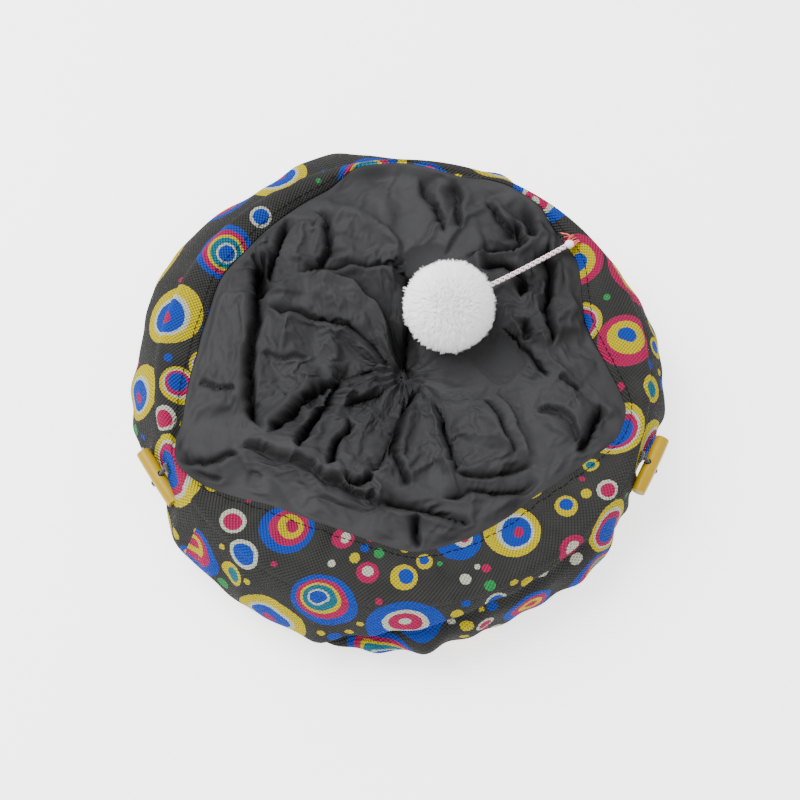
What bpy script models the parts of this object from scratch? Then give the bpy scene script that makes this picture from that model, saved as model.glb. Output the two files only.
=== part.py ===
"""Pop-up cat tunnel, folded flat and fastened by its two toggles.

The tunnel's axis is +Z, the floor is z = 0 and the front is -Y.
A place near the rim is written as outward (from the axis), along (the tangent) and up.
"""

import math

import bmesh
import bpy
from mathutils import Matrix, Vector

# The wire frame, in metres.
HOOP_RADIUS = 0.125  # to the middle of the wire
HOOP_WIRE = 0.003
COIL_WIRE = 0.002
COIL_TURNS = 4
COIL_POINTS_PER_TURN = 24
HOOP_POINTS = 48
WIRE_END_GAP = 0.0004

# The folded height, the two cloths and the clearances between pieces.
FLAT_HEIGHT = 0.056
CANVAS = 0.001
NYLON = 0.0006
GAP = 0.0003
WALL_GAP = 0.0006  # between the coil and the sleeve round it
COLUMNS = 48  # of the hems and the sleeve
LINER_COLUMNS = 41

# The hems: how far they reach inward, down or up, and how much the lower edge spreads.
HEM_BAND = 0.0285
HEM_BAND_DIP = 0.0024
HEM_DROP = 0.013
BASE_BAND = 0.017
BASE_RISE = 0.0115
SEAM_RISE = 0.003
SLEEVE_TUCK = 0.0055
TOP_SPREAD_SHARE = 0.72  # how far each hem's free edge stands out with the sleeve
BASE_SPREAD_SHARE = 0.6
# The width of the band inside the mouth round the rim, as (degrees from +X, share).
BAND_REACH_SHARES = (
    (-180, 0.46), (-166, 0.22), (-150, 0.15), (-142, 0.30), (-131, 0.76), (-113, 1.0),
    (-100, 0.95), (-86, 0.72), (-62, 0.86), (-47, 0.89), (-36, 0.66), (-27, 0.30),
    (-12, 0.18), (0, 0.48), (15, 0.74), (26, 0.52), (38, 0.30), (60, 0.18),
    (105, 0.18), (124, 0.28), (140, 0.38), (165, 0.50), (180, 0.46),
)

# The bulge of the sleeve. It stands highest at the back, and at the front a valley
# climbs round it from the floor to the rim, as the coil does.
BULGE = 0.0122
FOLD_CLIMB = 0.0032
# How far they stand out round the rim, as (degrees from +X, share).
BULGE_SHARES = (
    (-180, 1.0), (-166, 0.80), (-144, 1.0), (-134, 0.88), (-108, 1.0), (-98, 0.84),
    (-80, 0.80), (-65, 0.66), (-46, 0.78), (-33, 0.52), (-8, 0.74), (20, 0.72),
    (38, 0.42), (54, 0.18), (65, 0.50), (75, 0.22), (92, 0.45), (107, 1.0),
    (122, 0.80), (154, 1.0), (170, 0.90), (180, 1.0),
)

# Where the valley lies, as (degrees from +X, height up the sleeve as a share).
VALLEY_SHARES = (
    (-180, 0.0), (-118, 0.0), (-108, 0.16), (-98, 0.42), (-86, 0.70), (-73, 0.84),
    (-58, 1.0), (180, 1.0),
)

# The folded liner: the narrow middle, its layers and the soft lobes of its heap.
NECK_RADIUS = 0.012
NECK_TOP = 0.030
NECK_FOOT = 0.0095
LINER_CLEARANCE = 0.0022
FOLD_HEIGHT = 0.0085
NEST_DEPTH = 0.003
# Each lobe: the place of its middle (right, back), its length and width as shares of the
# liner's radius, its turn in degrees and its rise as a share of FOLD_HEIGHT.
LOBE_SHARES = (
    (-0.76, 0.10, 0.46, 0.09, 91, 0.5),
    (-0.63, 0.15, 0.42, 0.08, 92, -1.0),
    (-0.34, 0.29, 0.34, 0.12, -6, 0.8),
    (-0.20, 0.45, 0.27, 0.07, 6, -0.9),
    (-0.12, 0.67, 0.28, 0.12, 0, 0.7),
    (-0.42, 0.60, 0.16, 0.10, 60, 0.7),
    (-0.49, -0.56, 0.46, 0.11, -16, 0.7),
    (-0.43, -0.19, 0.24, 0.08, 40, -0.9),
    (-0.16, -0.30, 0.20, 0.08, 70, 0.5),
    (-0.05, -0.36, 0.22, 0.07, 68, -1.0),
    (0.33, -0.27, 0.28, 0.20, -25, 0.8),
    (0.26, -0.60, 0.28, 0.07, 12, -0.6),
    (0.50, 0.40, 0.18, 0.13, -50, -1.2),
    (0.62, 0.02, 0.36, 0.08, -58, 0.8),
    (0.66, 0.36, 0.26, 0.06, -85, -0.8),
    (0.37, 0.68, 0.20, 0.12, -25, 0.7),
)

# The crimped tubes on the wire.
CRIMP_WALL = 0.0005
CRIMP_LENGTH = 0.016
CRIMP_STATIONS = 5
CRIMP_SIDES = 12

# The toggles, their cords and the elastic loops that hold them.
TOGGLE_LENGTH = 0.032
TOGGLE_RADIUS = 0.0038
TOGGLE_HOLE_RADIUS = 0.0017
TOGGLE_EDGE = 0.0009
STEM_CORD = 0.002
STEM_DROP = 0.0046  # below the middle of the top hoop
TOGGLE_OUT = 0.0064
TOGGLE_DOWN = 0.0042
HOLE_LEAN_DEG = 30.0
KNOT_RADIUS = 0.0019
LOOP_CORD = 0.0016
LOOP_FOOT = 0.0075

# The pompom and its cord. The pompom's middle rises above the folded tunnel's top.
POMPOM_RADIUS = 0.0235
POMPOM_RIGHT = 0.0245
POMPOM_BACK = 0.0306
POMPOM_RISE = 0.0065
POMPOM_CORD = 0.0028
POMPOM_CORD_SAG = 0.0012
CORD_KNOT_RADIUS = 0.0023
STITCH_LENGTH = 0.006
STITCH_WIDTH = 0.003
STITCH_HEIGHT = 0.001

# Places round the rim, in degrees from +X.
RIGHT_PINCH_DEG = -22.0
LEFT_PINCH_DEG = 205.0
PINCH_SPREAD_DEG = 9.0
POMPOM_ANCHOR_DEG = 38.5
HOOP_CRIMP_DEG = 120.0
COIL_END_DEG = 150.0

# Sizes that follow from the ones above.
CRIMP_RADIUS = HOOP_WIRE / 2 + GAP + CRIMP_WALL
SLEEVE_RADIUS = HOOP_RADIUS + COIL_WIRE / 2 + WALL_GAP + CANVAS / 2
HOOK_RADIUS = max(
    CRIMP_RADIUS + GAP + CANVAS / 2, SLEEVE_RADIUS - HOOP_RADIUS + CANVAS + GAP
)
HEM_FACE = HOOP_RADIUS + HOOK_RADIUS + CANVAS / 2
TOP_HOOP_Z = FLAT_HEIGHT - HOOK_RADIUS - CANVAS / 2
BASE_HOOP_Z = HOOK_RADIUS + CANVAS / 2
COIL_STEP = (HOOP_WIRE + COIL_WIRE) / 2 + GAP
BAND_EDGE = HOOP_RADIUS - HOOK_RADIUS
HEM_EDGE_Z = TOP_HOOP_Z - HEM_DROP
SEAM_Z = TOP_HOOP_Z - HEM_BAND_DIP
BASE_EDGE_Z = BASE_HOOP_Z + BASE_RISE
SLEEVE_TOP = HEM_EDGE_Z + SLEEVE_TUCK
SLEEVE_FOOT = BASE_EDGE_Z - SLEEVE_TUCK
LINER_RADIUS = HOOP_RADIUS - COIL_WIRE / 2 - LINER_CLEARANCE - NYLON / 2
LINER_TOP = SEAM_Z - CANVAS / 2 - GAP - NYLON / 2
BASE_SEAM_RADIUS = BAND_EDGE - BASE_BAND
LINER_FOOT = SEAM_RISE + CANVAS + GAP + NYLON / 2
STEM_ROOT = HEM_FACE + GAP + STEM_CORD / 2
STEM_ROOT_Z = TOP_HOOP_Z - STEM_DROP
POMPOM_PLACE = (POMPOM_RIGHT, POMPOM_BACK, FLAT_HEIGHT + POMPOM_RISE)

# Height up the sleeve and how far it bulges there, as shares.
SLEEVE_SHARES = (
    (0.0, 0.0), (0.13, 0.24), (0.22, 0.52), (0.31, 0.86), (0.41, 1.0), (0.50, 1.0),
    (0.59, 0.98), (0.68, 0.90), (0.76, 0.74), (0.85, 0.42), (1.0, 0.0),
)
VALLEY_DEPTH_SHARE = 0.75
VALLEY_WIDTH_SHARE = 0.11
# The dish of the liner: radius from neck to rim and height from neck to rim, as shares.
DISH_SHARES = (
    (1.0, 1.0), (0.74, 1.0), (0.65, 0.97), (0.56, 0.91), (0.46, 0.81), (0.36, 0.68),
    (0.26, 0.51), (0.14, 0.26),
)
DISH_RIM_SHARE = 0.73
NEST_SHARE = 1.25  # of the pompom's radius, where the heap is pressed down
HEM_FLARE_SHARES = (0.25, 0.6, 1.0)  # the rows of the skirt, down from the hoop
# The band of the top hem: distance inward and rise from the hoop's middle, as shares.
BAND_SHARES = ((0.6, 0.35), (0.25, 0.80))
# The route of a toggle's cord: outward and up from its root, as shares of TOGGLE_OUT.
STEM_SHARES = ((0.0, 0.0), (0.25, 0.155), (0.50, 0.14), (0.64, -0.03))
# The pompom's cord dips most in its middle, as shares of its length and its sag.
SAG_SHARES = (0.0, 0.25, 0.5, 0.75, 1.0)
STITCH_BEVEL_SHARE = 0.3
TOGGLE_END_SHARE = 0.9
TOGGLE_ROUND_SHARE = 0.3  # of the edge, for the ring that rounds it
# An elastic loop: its arch's rise above the stem, its draw-in and its lean at the bend.
ARCH_RISE_SHARE = 0.155
ARCH_DRAW_SHARE = 0.9
ARCH_BEND_SHARE = 0.75
ARCH_OUT_SHARE = 0.6
MITRE_SHARE = 0.35  # the sharpest bend of a cloth whose thickness is kept
FUR_RIPPLE_SHARE = 0.03


def clear_scene():
    for thing in list(bpy.data.objects):
        bpy.data.objects.remove(thing, do_unlink=True)


def collection(name):
    made = bpy.data.collections.new(name)
    bpy.context.scene.collection.children.link(made)
    return made


def material(name, colour, roughness, metallic=0.0):
    """A plain Principled material of one colour."""
    made = bpy.data.materials.new(name)
    made.use_nodes = True
    shader = made.node_tree.nodes["Principled BSDF"]
    shader.inputs["Base Color"].default_value = (*colour, 1.0)
    shader.inputs["Roughness"].default_value = roughness
    shader.inputs["Metallic"].default_value = metallic
    return made


def new_object(name, data, finish, group):
    made = bpy.data.objects.new(name, data)
    data.materials.append(finish)
    group.objects.link(made)
    return made


def mesh_object(name, bm, finish, group, smooth_deg=40.0):
    """Turn a finished bmesh into a smooth-shaded object."""
    bmesh.ops.recalc_face_normals(bm, faces=bm.faces)
    mesh = bpy.data.meshes.new(name)
    bm.to_mesh(mesh)
    bm.free()
    mesh.shade_smooth()
    mesh.set_sharp_from_angle(angle=math.radians(smooth_deg))
    return new_object(name, mesh, finish, group)


def lerp(start, end, share):
    return start + (end - start) * share


def between(table, value):
    """Read a rising table of (place, height) pairs at a place, in straight lines."""
    for (x0, y0), (x1, y1) in zip(table, table[1:]):
        if value <= x1:
            return lerp(y0, y1, max(0.0, (value - x0) / (x1 - x0)))
    return table[-1][1]


def pinch(angle):
    """1 at a fastened corner of the rim, falling to 0 away from it."""
    nearest = min(
        abs(math.remainder(angle - math.radians(corner), 2 * math.pi))
        for corner in (RIGHT_PINCH_DEG, LEFT_PINCH_DEG)
    )
    return math.exp(-((nearest / math.radians(PINCH_SPREAD_DEG)) ** 4))


def around(table, angle):
    """Read a table that goes right round the rim, easing from place to place."""
    degrees = math.degrees(math.remainder(angle, 2 * math.pi))
    for (a, low), (b, high) in zip(table, table[1:]):
        if degrees <= b:
            step = (degrees - a) / (b - a)
            return lerp(low, high, step * step * (3 - 2 * step))
    return table[-1][1]


def bulge(angle):
    """How far the folded canvas stands out of the coil at this angle."""
    return BULGE * around(BULGE_SHARES, angle) * (1 - pinch(angle))


def hem_flare(angle, away):
    """How far a hem stands out at this share of the way from its hoop to its edge."""
    return bulge(angle) * math.sin(math.pi / 2 * min(max(away, 0.0), 1.0))


def lobes(x, y):
    """The rise of the liner's heap at a place, as a share of FOLD_HEIGHT."""
    total = 0.0
    for right, back, long, wide, turn_deg, rise in LOBE_SHARES:
        turn = math.radians(turn_deg)
        dx, dy = x / LINER_RADIUS - right, y / LINER_RADIUS - back
        along = (dx * math.cos(turn) + dy * math.sin(turn)) / long
        across = (dy * math.cos(turn) - dx * math.sin(turn)) / wide
        total += rise * math.exp(-(along**2) - across**2)
    return total


def hem_reach(angle):
    """The width of the band inside the rim, as a share of its greatest width."""
    return around(BAND_REACH_SHARES, angle)


def cloth_section(line, thickness):
    """The closed outline of a cloth of this thickness that follows a line of (r, z)."""
    points = [Vector(point) for point in line]
    steps = [(b - a).normalized() for a, b in zip(points, points[1:])]
    before = [steps[0], *steps]
    after = [*steps, steps[-1]]
    near, far = [], []
    for point, a, b in zip(points, before, after):
        along = (a + b).normalized()
        across = Vector((-along.y, along.x)) * thickness / 2 / max(along.dot(a), MITRE_SHARE)
        near.append(point + across)
        far.append(point - across)
    return near + far[::-1]


def turned_cloth(name, line, thickness, columns, shape, finish, group):
    """Spin a cloth's section round the axis, then let shape(angle, r, z) place each point."""
    bm = bmesh.new()
    ring = [bm.verts.new((r, 0, z)) for r, z in cloth_section(line, thickness)]
    for a, b in zip(ring, ring[1:] + ring[:1]):
        bm.edges.new((a, b))
    bmesh.ops.spin(
        bm, geom=bm.verts[:] + bm.edges[:], axis=(0, 0, 1), cent=(0, 0, 0),
        angle=2 * math.pi, steps=columns, use_merge=True, use_duplicate=False,
    )
    for vertex in bm.verts:
        angle = math.atan2(vertex.co.y, vertex.co.x)
        r, z = shape(angle, vertex.co.xy.length, vertex.co.z)
        vertex.co = (r * math.cos(angle), r * math.sin(angle), z)
    return mesh_object(name, bm, finish, group, smooth_deg=60.0)


def hook(centre_z, start_deg, end_deg, steps):
    """Points of cloth that wraps a hoop, from one side of the wire to the other."""
    places = []
    for step in range(steps + 1):
        turn = math.radians(lerp(start_deg, end_deg, step / steps))
        out = HOOP_RADIUS + HOOK_RADIUS * math.cos(turn)
        places.append((out, centre_z + HOOK_RADIUS * math.sin(turn)))
    return places


def make_top_hem(finish, group):
    """Canvas folded over the top hoop: a band inside the mouth and a skirt outside."""
    band = [(BAND_EDGE - HEM_BAND, SEAM_Z)]
    for inward, rise in BAND_SHARES:
        band.append((BAND_EDGE - HEM_BAND * inward, TOP_HOOP_Z + HOOK_RADIUS * rise))
    outer = HOOP_RADIUS + HOOK_RADIUS
    skirt = [(outer, lerp(TOP_HOOP_Z, HEM_EDGE_Z, share)) for share in HEM_FLARE_SHARES]

    def shape(angle, r, z):
        if r < BAND_EDGE:
            return BAND_EDGE - (BAND_EDGE - r) * hem_reach(angle), z
        if r < HOOP_RADIUS:
            return r, z
        return r + hem_flare(angle, (TOP_HOOP_Z - z) / HEM_DROP) * TOP_SPREAD_SHARE, z

    line = band + hook(TOP_HOOP_Z, 110, 0, 3) + skirt
    return turned_cloth("top_hem", line, CANVAS, COLUMNS, shape, finish, group)


def make_base_hem(finish, group):
    """Canvas folded round the base hoop, flat on the floor, with an upright edge."""
    flat = CANVAS / 2
    band = [
        (BASE_SEAM_RADIUS, flat + SEAM_RISE),
        (BASE_SEAM_RADIUS + 2 * SEAM_RISE, flat),
        (HOOP_RADIUS, flat),
    ]
    outer = HOOP_RADIUS + HOOK_RADIUS
    wall = [(outer, lerp(BASE_HOOP_Z, BASE_EDGE_Z, share)) for share in (0.5, 1.0)]

    def shape(angle, r, z):
        if r < HOOP_RADIUS:
            return r, z
        return r + hem_flare(angle, (z - BASE_HOOP_Z) / BASE_RISE) * BASE_SPREAD_SHARE, z

    line = band + hook(BASE_HOOP_Z, -60, 0, 2) + wall
    return turned_cloth("base_hem", line, CANVAS, COLUMNS, shape, finish, group)


def make_outer_sleeve(finish, group):
    """The canvas wall between the hems, pushed out in a bulge with a climbing valley."""
    height = SLEEVE_TOP - SLEEVE_FOOT
    line = [(SLEEVE_RADIUS, SLEEVE_FOOT + height * up) for up, _ in SLEEVE_SHARES]

    def shape(angle, r, z):
        up = (z - SLEEVE_FOOT) / height
        climb = FOLD_CLIMB * math.sin(angle) * math.sin(math.pi * up) ** 2
        away = (up - around(VALLEY_SHARES, angle)) / VALLEY_WIDTH_SHARE
        drawn_in = 1 - VALLEY_DEPTH_SHARE * math.exp(-(away**2))
        return r + bulge(angle) * between(SLEEVE_SHARES, up) * drawn_in, z + climb

    return turned_cloth("outer_sleeve", line, CANVAS, COLUMNS, shape, finish, group)


def liner_line():
    """The liner's path: across the dish to the neck, then to and fro for two turns each."""
    layers = COIL_TURNS
    line = []
    for inward, up in DISH_SHARES:
        radius = lerp(NECK_RADIUS, LINER_RADIUS, inward)
        line.append((radius, lerp(NECK_TOP, LINER_TOP, up)))
    for layer in range(layers):
        share = layer / (layers - 1)
        neck = (NECK_RADIUS, lerp(NECK_TOP, NECK_FOOT, share))
        rim = (LINER_RADIUS, lerp(LINER_TOP, LINER_FOOT, share))
        if layer == 0:
            line.append(neck)
        elif layer == layers - 1:
            line += [neck, (BASE_SEAM_RADIUS, LINER_FOOT)]
        else:
            line += [neck, rim] if layer % 2 else [rim, neck]
    return line


def make_inner_liner(finish, group):
    """The nylon lining, pleated to the middle between the turns of the coil."""
    nest = Vector(POMPOM_PLACE).xy

    def shape(angle, r, z):
        span = (r - NECK_RADIUS) / (LINER_RADIUS - NECK_RADIUS) / DISH_RIM_SHARE
        free = max(math.sin(math.pi * min(max(span, 0.0), 1.0)), 0.0)
        place = Vector((r * math.cos(angle), r * math.sin(angle)))
        reach = (place - nest).length / (POMPOM_RADIUS * NEST_SHARE)
        heap = FOLD_HEIGHT * free * lobes(*place)
        rise = lerp(heap, -NEST_DEPTH, math.exp(-(reach**4)))
        height = (z - LINER_FOOT) / (LINER_TOP - LINER_FOOT)
        return r, z + rise * max(height, 0.0)

    return turned_cloth(
        "inner_liner", liner_line(), NYLON, LINER_COLUMNS, shape, finish, group
    )


def wire(name, points, diameter, finish, group, resolution=1):
    """A wire or cord along a list of points, with closed ends."""
    curve = bpy.data.curves.new(name, "CURVE")
    curve.dimensions = "3D"
    curve.bevel_depth = diameter / 2
    curve.bevel_resolution = resolution
    curve.use_fill_caps = True
    spline = curve.splines.new("POLY")
    spline.points.add(len(points) - 1)
    for slot, point in zip(spline.points, points):
        slot.co = (*point, 1.0)
    return new_object(name, curve, finish, group)


def round_point(angle, radius, height):
    return Vector((radius * math.cos(angle), radius * math.sin(angle), height))


def make_hoop(name, height, finish, group):
    """A ring of spring wire whose ends meet inside its crimped tube."""
    slit = WIRE_END_GAP / HOOP_RADIUS
    start = math.radians(HOOP_CRIMP_DEG)
    points = []
    for step in range(HOOP_POINTS + 1):
        turn = lerp(slit / 2, 2 * math.pi - slit / 2, step / HOOP_POINTS)
        points.append(round_point(start + turn, HOOP_RADIUS, height))
    return wire(name, points, HOOP_WIRE, finish, group)


def make_coil(finish, group):
    """The spiral spring, one unbroken wire from hoop to hoop."""
    foot, top = BASE_HOOP_Z + COIL_STEP, TOP_HOOP_Z - COIL_STEP
    count = COIL_TURNS * COIL_POINTS_PER_TURN
    points = []
    for step in range(count + 1):
        share = step / count
        angle = math.radians(COIL_END_DEG) + 2 * math.pi * COIL_TURNS * share
        points.append(round_point(angle, HOOP_RADIUS, lerp(foot, top, share)))
    lap = (points[COIL_POINTS_PER_TURN] - points[0]).length - COIL_WIRE
    print(f"spring_coil: least gap from turn to turn {lap * 1000:.2f} mm")
    return wire("spring_coil", points, COIL_WIRE, finish, group)


def stadium(radius, spread):
    """An outline of two half circles whose centres lie 0 and -spread up: (out, up)."""
    outline = []
    for side in range(CRIMP_SIDES):
        turn = 2 * math.pi * (side + 0.5) / CRIMP_SIDES
        drop = spread if math.sin(turn) < 0 else 0.0
        outline.append((radius * math.cos(turn), radius * math.sin(turn) - drop))
    return outline


def make_crimp(name, height, spread, degrees, finish, group):
    """A crimped tube bent along the hoop. It holds one wire, or two a spread apart."""
    bore = HOOP_WIRE / 2 + GAP
    rings = []
    bm = bmesh.new()
    for station in range(CRIMP_STATIONS):
        along = CRIMP_LENGTH * (station / (CRIMP_STATIONS - 1) - 0.5)
        angle = math.radians(degrees) + along / HOOP_RADIUS
        for radius in (bore + CRIMP_WALL, bore):
            rings.append([
                bm.verts.new(round_point(angle, HOOP_RADIUS + out, height + up))
                for out, up in stadium(radius, spread)
            ])
    outer, inner = rings[0::2], rings[1::2]
    walls = list(zip(outer, outer[1:])) + list(zip(inner[1:], inner))
    walls += [(inner[0], outer[0]), (outer[-1], inner[-1])]
    for a, b in walls:
        for i in range(CRIMP_SIDES):
            j = (i + 1) % CRIMP_SIDES
            bm.faces.new((a[i], a[j], b[j], b[i]))
    return mesh_object(name, bm, finish, group)


def rim_frame(degrees):
    """Turns outward, along and up at this angle of the rim into world axes."""
    return Matrix.Rotation(math.radians(degrees), 4, "Z")


def smooth_route(points, per_span=4):
    """A smooth curve through a few points, read at close steps."""
    ends = [2 * points[0] - points[1], *points, 2 * points[-1] - points[-2]]
    route = []
    for a, b, c, d in zip(ends, ends[1:], ends[2:], ends[3:]):
        for step in range(per_span):
            t = step / per_span
            route.append(0.5 * (2 * b + (c - a) * t + (2 * a - 5 * b + 4 * c - d) * t**2
                                + (3 * b - a - 3 * c + d) * t**3))
    return [*route, points[-1]]


def hole_axis():
    """The way a toggle's cross hole runs, from its mouth down and outward."""
    lean = math.radians(HOLE_LEAN_DEG)
    return Vector((math.sin(lean), 0, -math.cos(lean)))


def toggle_middle():
    return Vector((STEM_ROOT + TOGGLE_OUT, 0, STEM_ROOT_Z - TOGGLE_DOWN))


def toggle_profile():
    """Half of the bar's outline, from one end to the other, as (radius, along)."""
    half = TOGGLE_LENGTH / 2
    end = TOGGLE_RADIUS * TOGGLE_END_SHARE
    eased = TOGGLE_EDGE * TOGGLE_ROUND_SHARE
    rounded = [(end - TOGGLE_EDGE, half), (end - eased, half - eased)]
    side = [(end, half - TOGGLE_EDGE), (TOGGLE_RADIUS, half / 2)]
    upper = [(0.0, half), *rounded, *side]
    return upper + [(radius, -along) for radius, along in reversed(upper)]


def make_toggle(side, degrees, tilt_deg, finish, group, cutters):
    """A turned bar with a cross hole for its cord."""
    bm = bmesh.new()
    line = [bm.verts.new((radius, along, 0)) for radius, along in toggle_profile()]
    for a, b in zip(line, line[1:]):
        bm.edges.new((a, b))
    bmesh.ops.spin(
        bm, geom=bm.verts[:] + bm.edges[:], axis=(0, 1, 0), cent=(0, 0, 0),
        angle=2 * math.pi, steps=16, use_merge=True, use_duplicate=False,
    )
    bmesh.ops.remove_doubles(bm, verts=bm.verts, dist=TOGGLE_EDGE / 100)
    bar = mesh_object(f"toggle_{side}", bm, finish, group)
    place = rim_frame(degrees) @ Matrix.Translation(toggle_middle())
    bar.matrix_world = place @ Matrix.Rotation(math.radians(tilt_deg), 4, hole_axis())
    drill = bmesh.new()
    bmesh.ops.create_cone(
        drill, cap_ends=True, segments=12, radius1=TOGGLE_HOLE_RADIUS,
        radius2=TOGGLE_HOLE_RADIUS, depth=4 * TOGGLE_RADIUS,
    )
    cutter = mesh_object(f"toggle_{side}_drill", drill, finish, cutters)
    turn = Vector((0, 0, 1)).rotation_difference(hole_axis()).to_matrix().to_4x4()
    cutter.matrix_world = place @ turn
    cutter.hide_render = True
    cutter.display_type = "WIRE"
    cut = bar.modifiers.new("cross hole", "BOOLEAN")
    cut.operation = "DIFFERENCE"
    cut.object = cutter
    return bar


def make_ball(name, radius, place, finish, group):
    """A small round knot."""
    bm = bmesh.new()
    bmesh.ops.create_uvsphere(bm, u_segments=10, v_segments=6, radius=radius)
    ball = mesh_object(name, bm, finish, group)
    ball.location = place
    return ball


def make_stem(side, degrees, finish, group):
    """The toggle's cord: out of the hem, over and down through the cross hole."""
    root = Vector((STEM_ROOT, 0, STEM_ROOT_Z))
    points = [root + Vector((out, 0, up)) * TOGGLE_OUT for out, up in STEM_SHARES]
    points.append(toggle_middle() - hole_axis() * TOGGLE_RADIUS)
    points.append(toggle_middle())
    points.append(toggle_middle() + hole_axis() * TOGGLE_RADIUS)
    frame = rim_frame(degrees)
    route = [frame @ point for point in smooth_route(points, 3)]
    wire(f"toggle_stem_{side}", route, STEM_CORD, finish, group)
    below = toggle_middle() + hole_axis() * (TOGGLE_RADIUS + GAP + KNOT_RADIUS)
    make_ball(f"toggle_knot_{side}", KNOT_RADIUS, frame @ below, finish, group)


def make_loop(side, degrees, finish, group):
    """The elastic loop: from the base hem up both sides of the stem and over it."""
    apart = STEM_CORD / 2 + GAP + LOOP_CORD / 2 + GAP
    leg = HEM_FACE + GAP + LOOP_CORD / 2
    arch = STEM_ROOT_Z + apart + ARCH_RISE_SHARE * TOGGLE_OUT
    bend = STEM_ROOT_Z - STEM_CORD
    right = [
        Vector((leg, apart, LOOP_FOOT)),
        Vector((leg, apart, lerp(LOOP_FOOT, bend, 0.5))),
        Vector((leg, apart, bend)),
        Vector((
            leg + STEM_CORD / 2, apart * ARCH_DRAW_SHARE, lerp(bend, arch, ARCH_BEND_SHARE),
        )),
    ]
    left = [Vector((point.x, -point.y, point.z)) for point in reversed(right)]
    points = right + [Vector((leg + STEM_CORD * ARCH_OUT_SHARE, 0, arch))] + left
    frame = rim_frame(degrees)
    route = [frame @ point for point in smooth_route(points, 3)]
    return wire(f"loop_{side}", route, LOOP_CORD, finish, group)


def pompom_anchor():
    """The middle of the cord's knot, which lies on the hem at its seam."""
    angle = math.radians(POMPOM_ANCHOR_DEG)
    radius = BAND_EDGE - HEM_BAND * hem_reach(angle) + CORD_KNOT_RADIUS
    lift = CANVAS / 2 + HOOK_RADIUS * BAND_SHARES[0][1] + GAP + CORD_KNOT_RADIUS
    return round_point(angle, radius, TOP_HOOP_Z + lift)


def make_pompom(finish, group):
    """A ball of fur with a softly uneven surface."""
    bm = bmesh.new()
    bmesh.ops.create_icosphere(bm, subdivisions=3, radius=POMPOM_RADIUS)
    for vertex in bm.verts:
        x, y, z = vertex.co / POMPOM_RADIUS
        ripple = math.sin(9 * x + 2) * math.sin(8 * y) * math.sin(10 * z + 1)
        vertex.co *= 1 - FUR_RIPPLE_SHARE * (1 + ripple) / 2
    ball = mesh_object("pompom", bm, finish, group)
    ball.location = POMPOM_PLACE
    return ball


def make_pompom_cord(finish, group):
    """The braided cord, which dips a little between its knot and the pompom."""
    start, end = pompom_anchor(), Vector(POMPOM_PLACE)
    way = (end - start).normalized()
    start = start + way * (CORD_KNOT_RADIUS + GAP)
    end = end - way * (POMPOM_RADIUS + GAP)
    points = []
    for share in SAG_SHARES:
        dip = POMPOM_CORD_SAG * 4 * share * (1 - share)
        points.append(start.lerp(end, share) - Vector((0, 0, dip)))
    route = smooth_route(points, 3)
    wire("pompom_cord", route, POMPOM_CORD, finish, group, resolution=2)
    length = sum((b - a).length for a, b in zip(route, route[1:]))
    print(f"pompom_cord: {length * 1000:.1f} mm from {tuple(round(v, 5) for v in start)}")


def make_anchor_stitch(finish, group):
    """The bar of thread that sews the knot to the hem."""
    angle = math.radians(POMPOM_ANCHOR_DEG)
    out = pompom_anchor().xy.length + CORD_KNOT_RADIUS + GAP + STITCH_WIDTH / 2
    bm = bmesh.new()
    bmesh.ops.create_cube(bm, size=1.0)
    size = Vector((STITCH_WIDTH, STITCH_LENGTH, STITCH_HEIGHT))
    bmesh.ops.scale(bm, vec=size, verts=bm.verts)
    bmesh.ops.bevel(
        bm, geom=bm.edges[:], offset=STITCH_HEIGHT * STITCH_BEVEL_SHARE, segments=1,
        affect="EDGES",
    )
    bar = mesh_object("anchor_stitch", bm, finish, group)
    height = TOP_HOOP_Z + HOOK_RADIUS * BAND_SHARES[1][1] + CANVAS / 2
    lift = GAP + STITCH_HEIGHT / 2
    bar.matrix_world = Matrix.Translation(round_point(angle, out, height + lift)) @ (
        rim_frame(POMPOM_ANCHOR_DEG)
    )
    return bar


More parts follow.
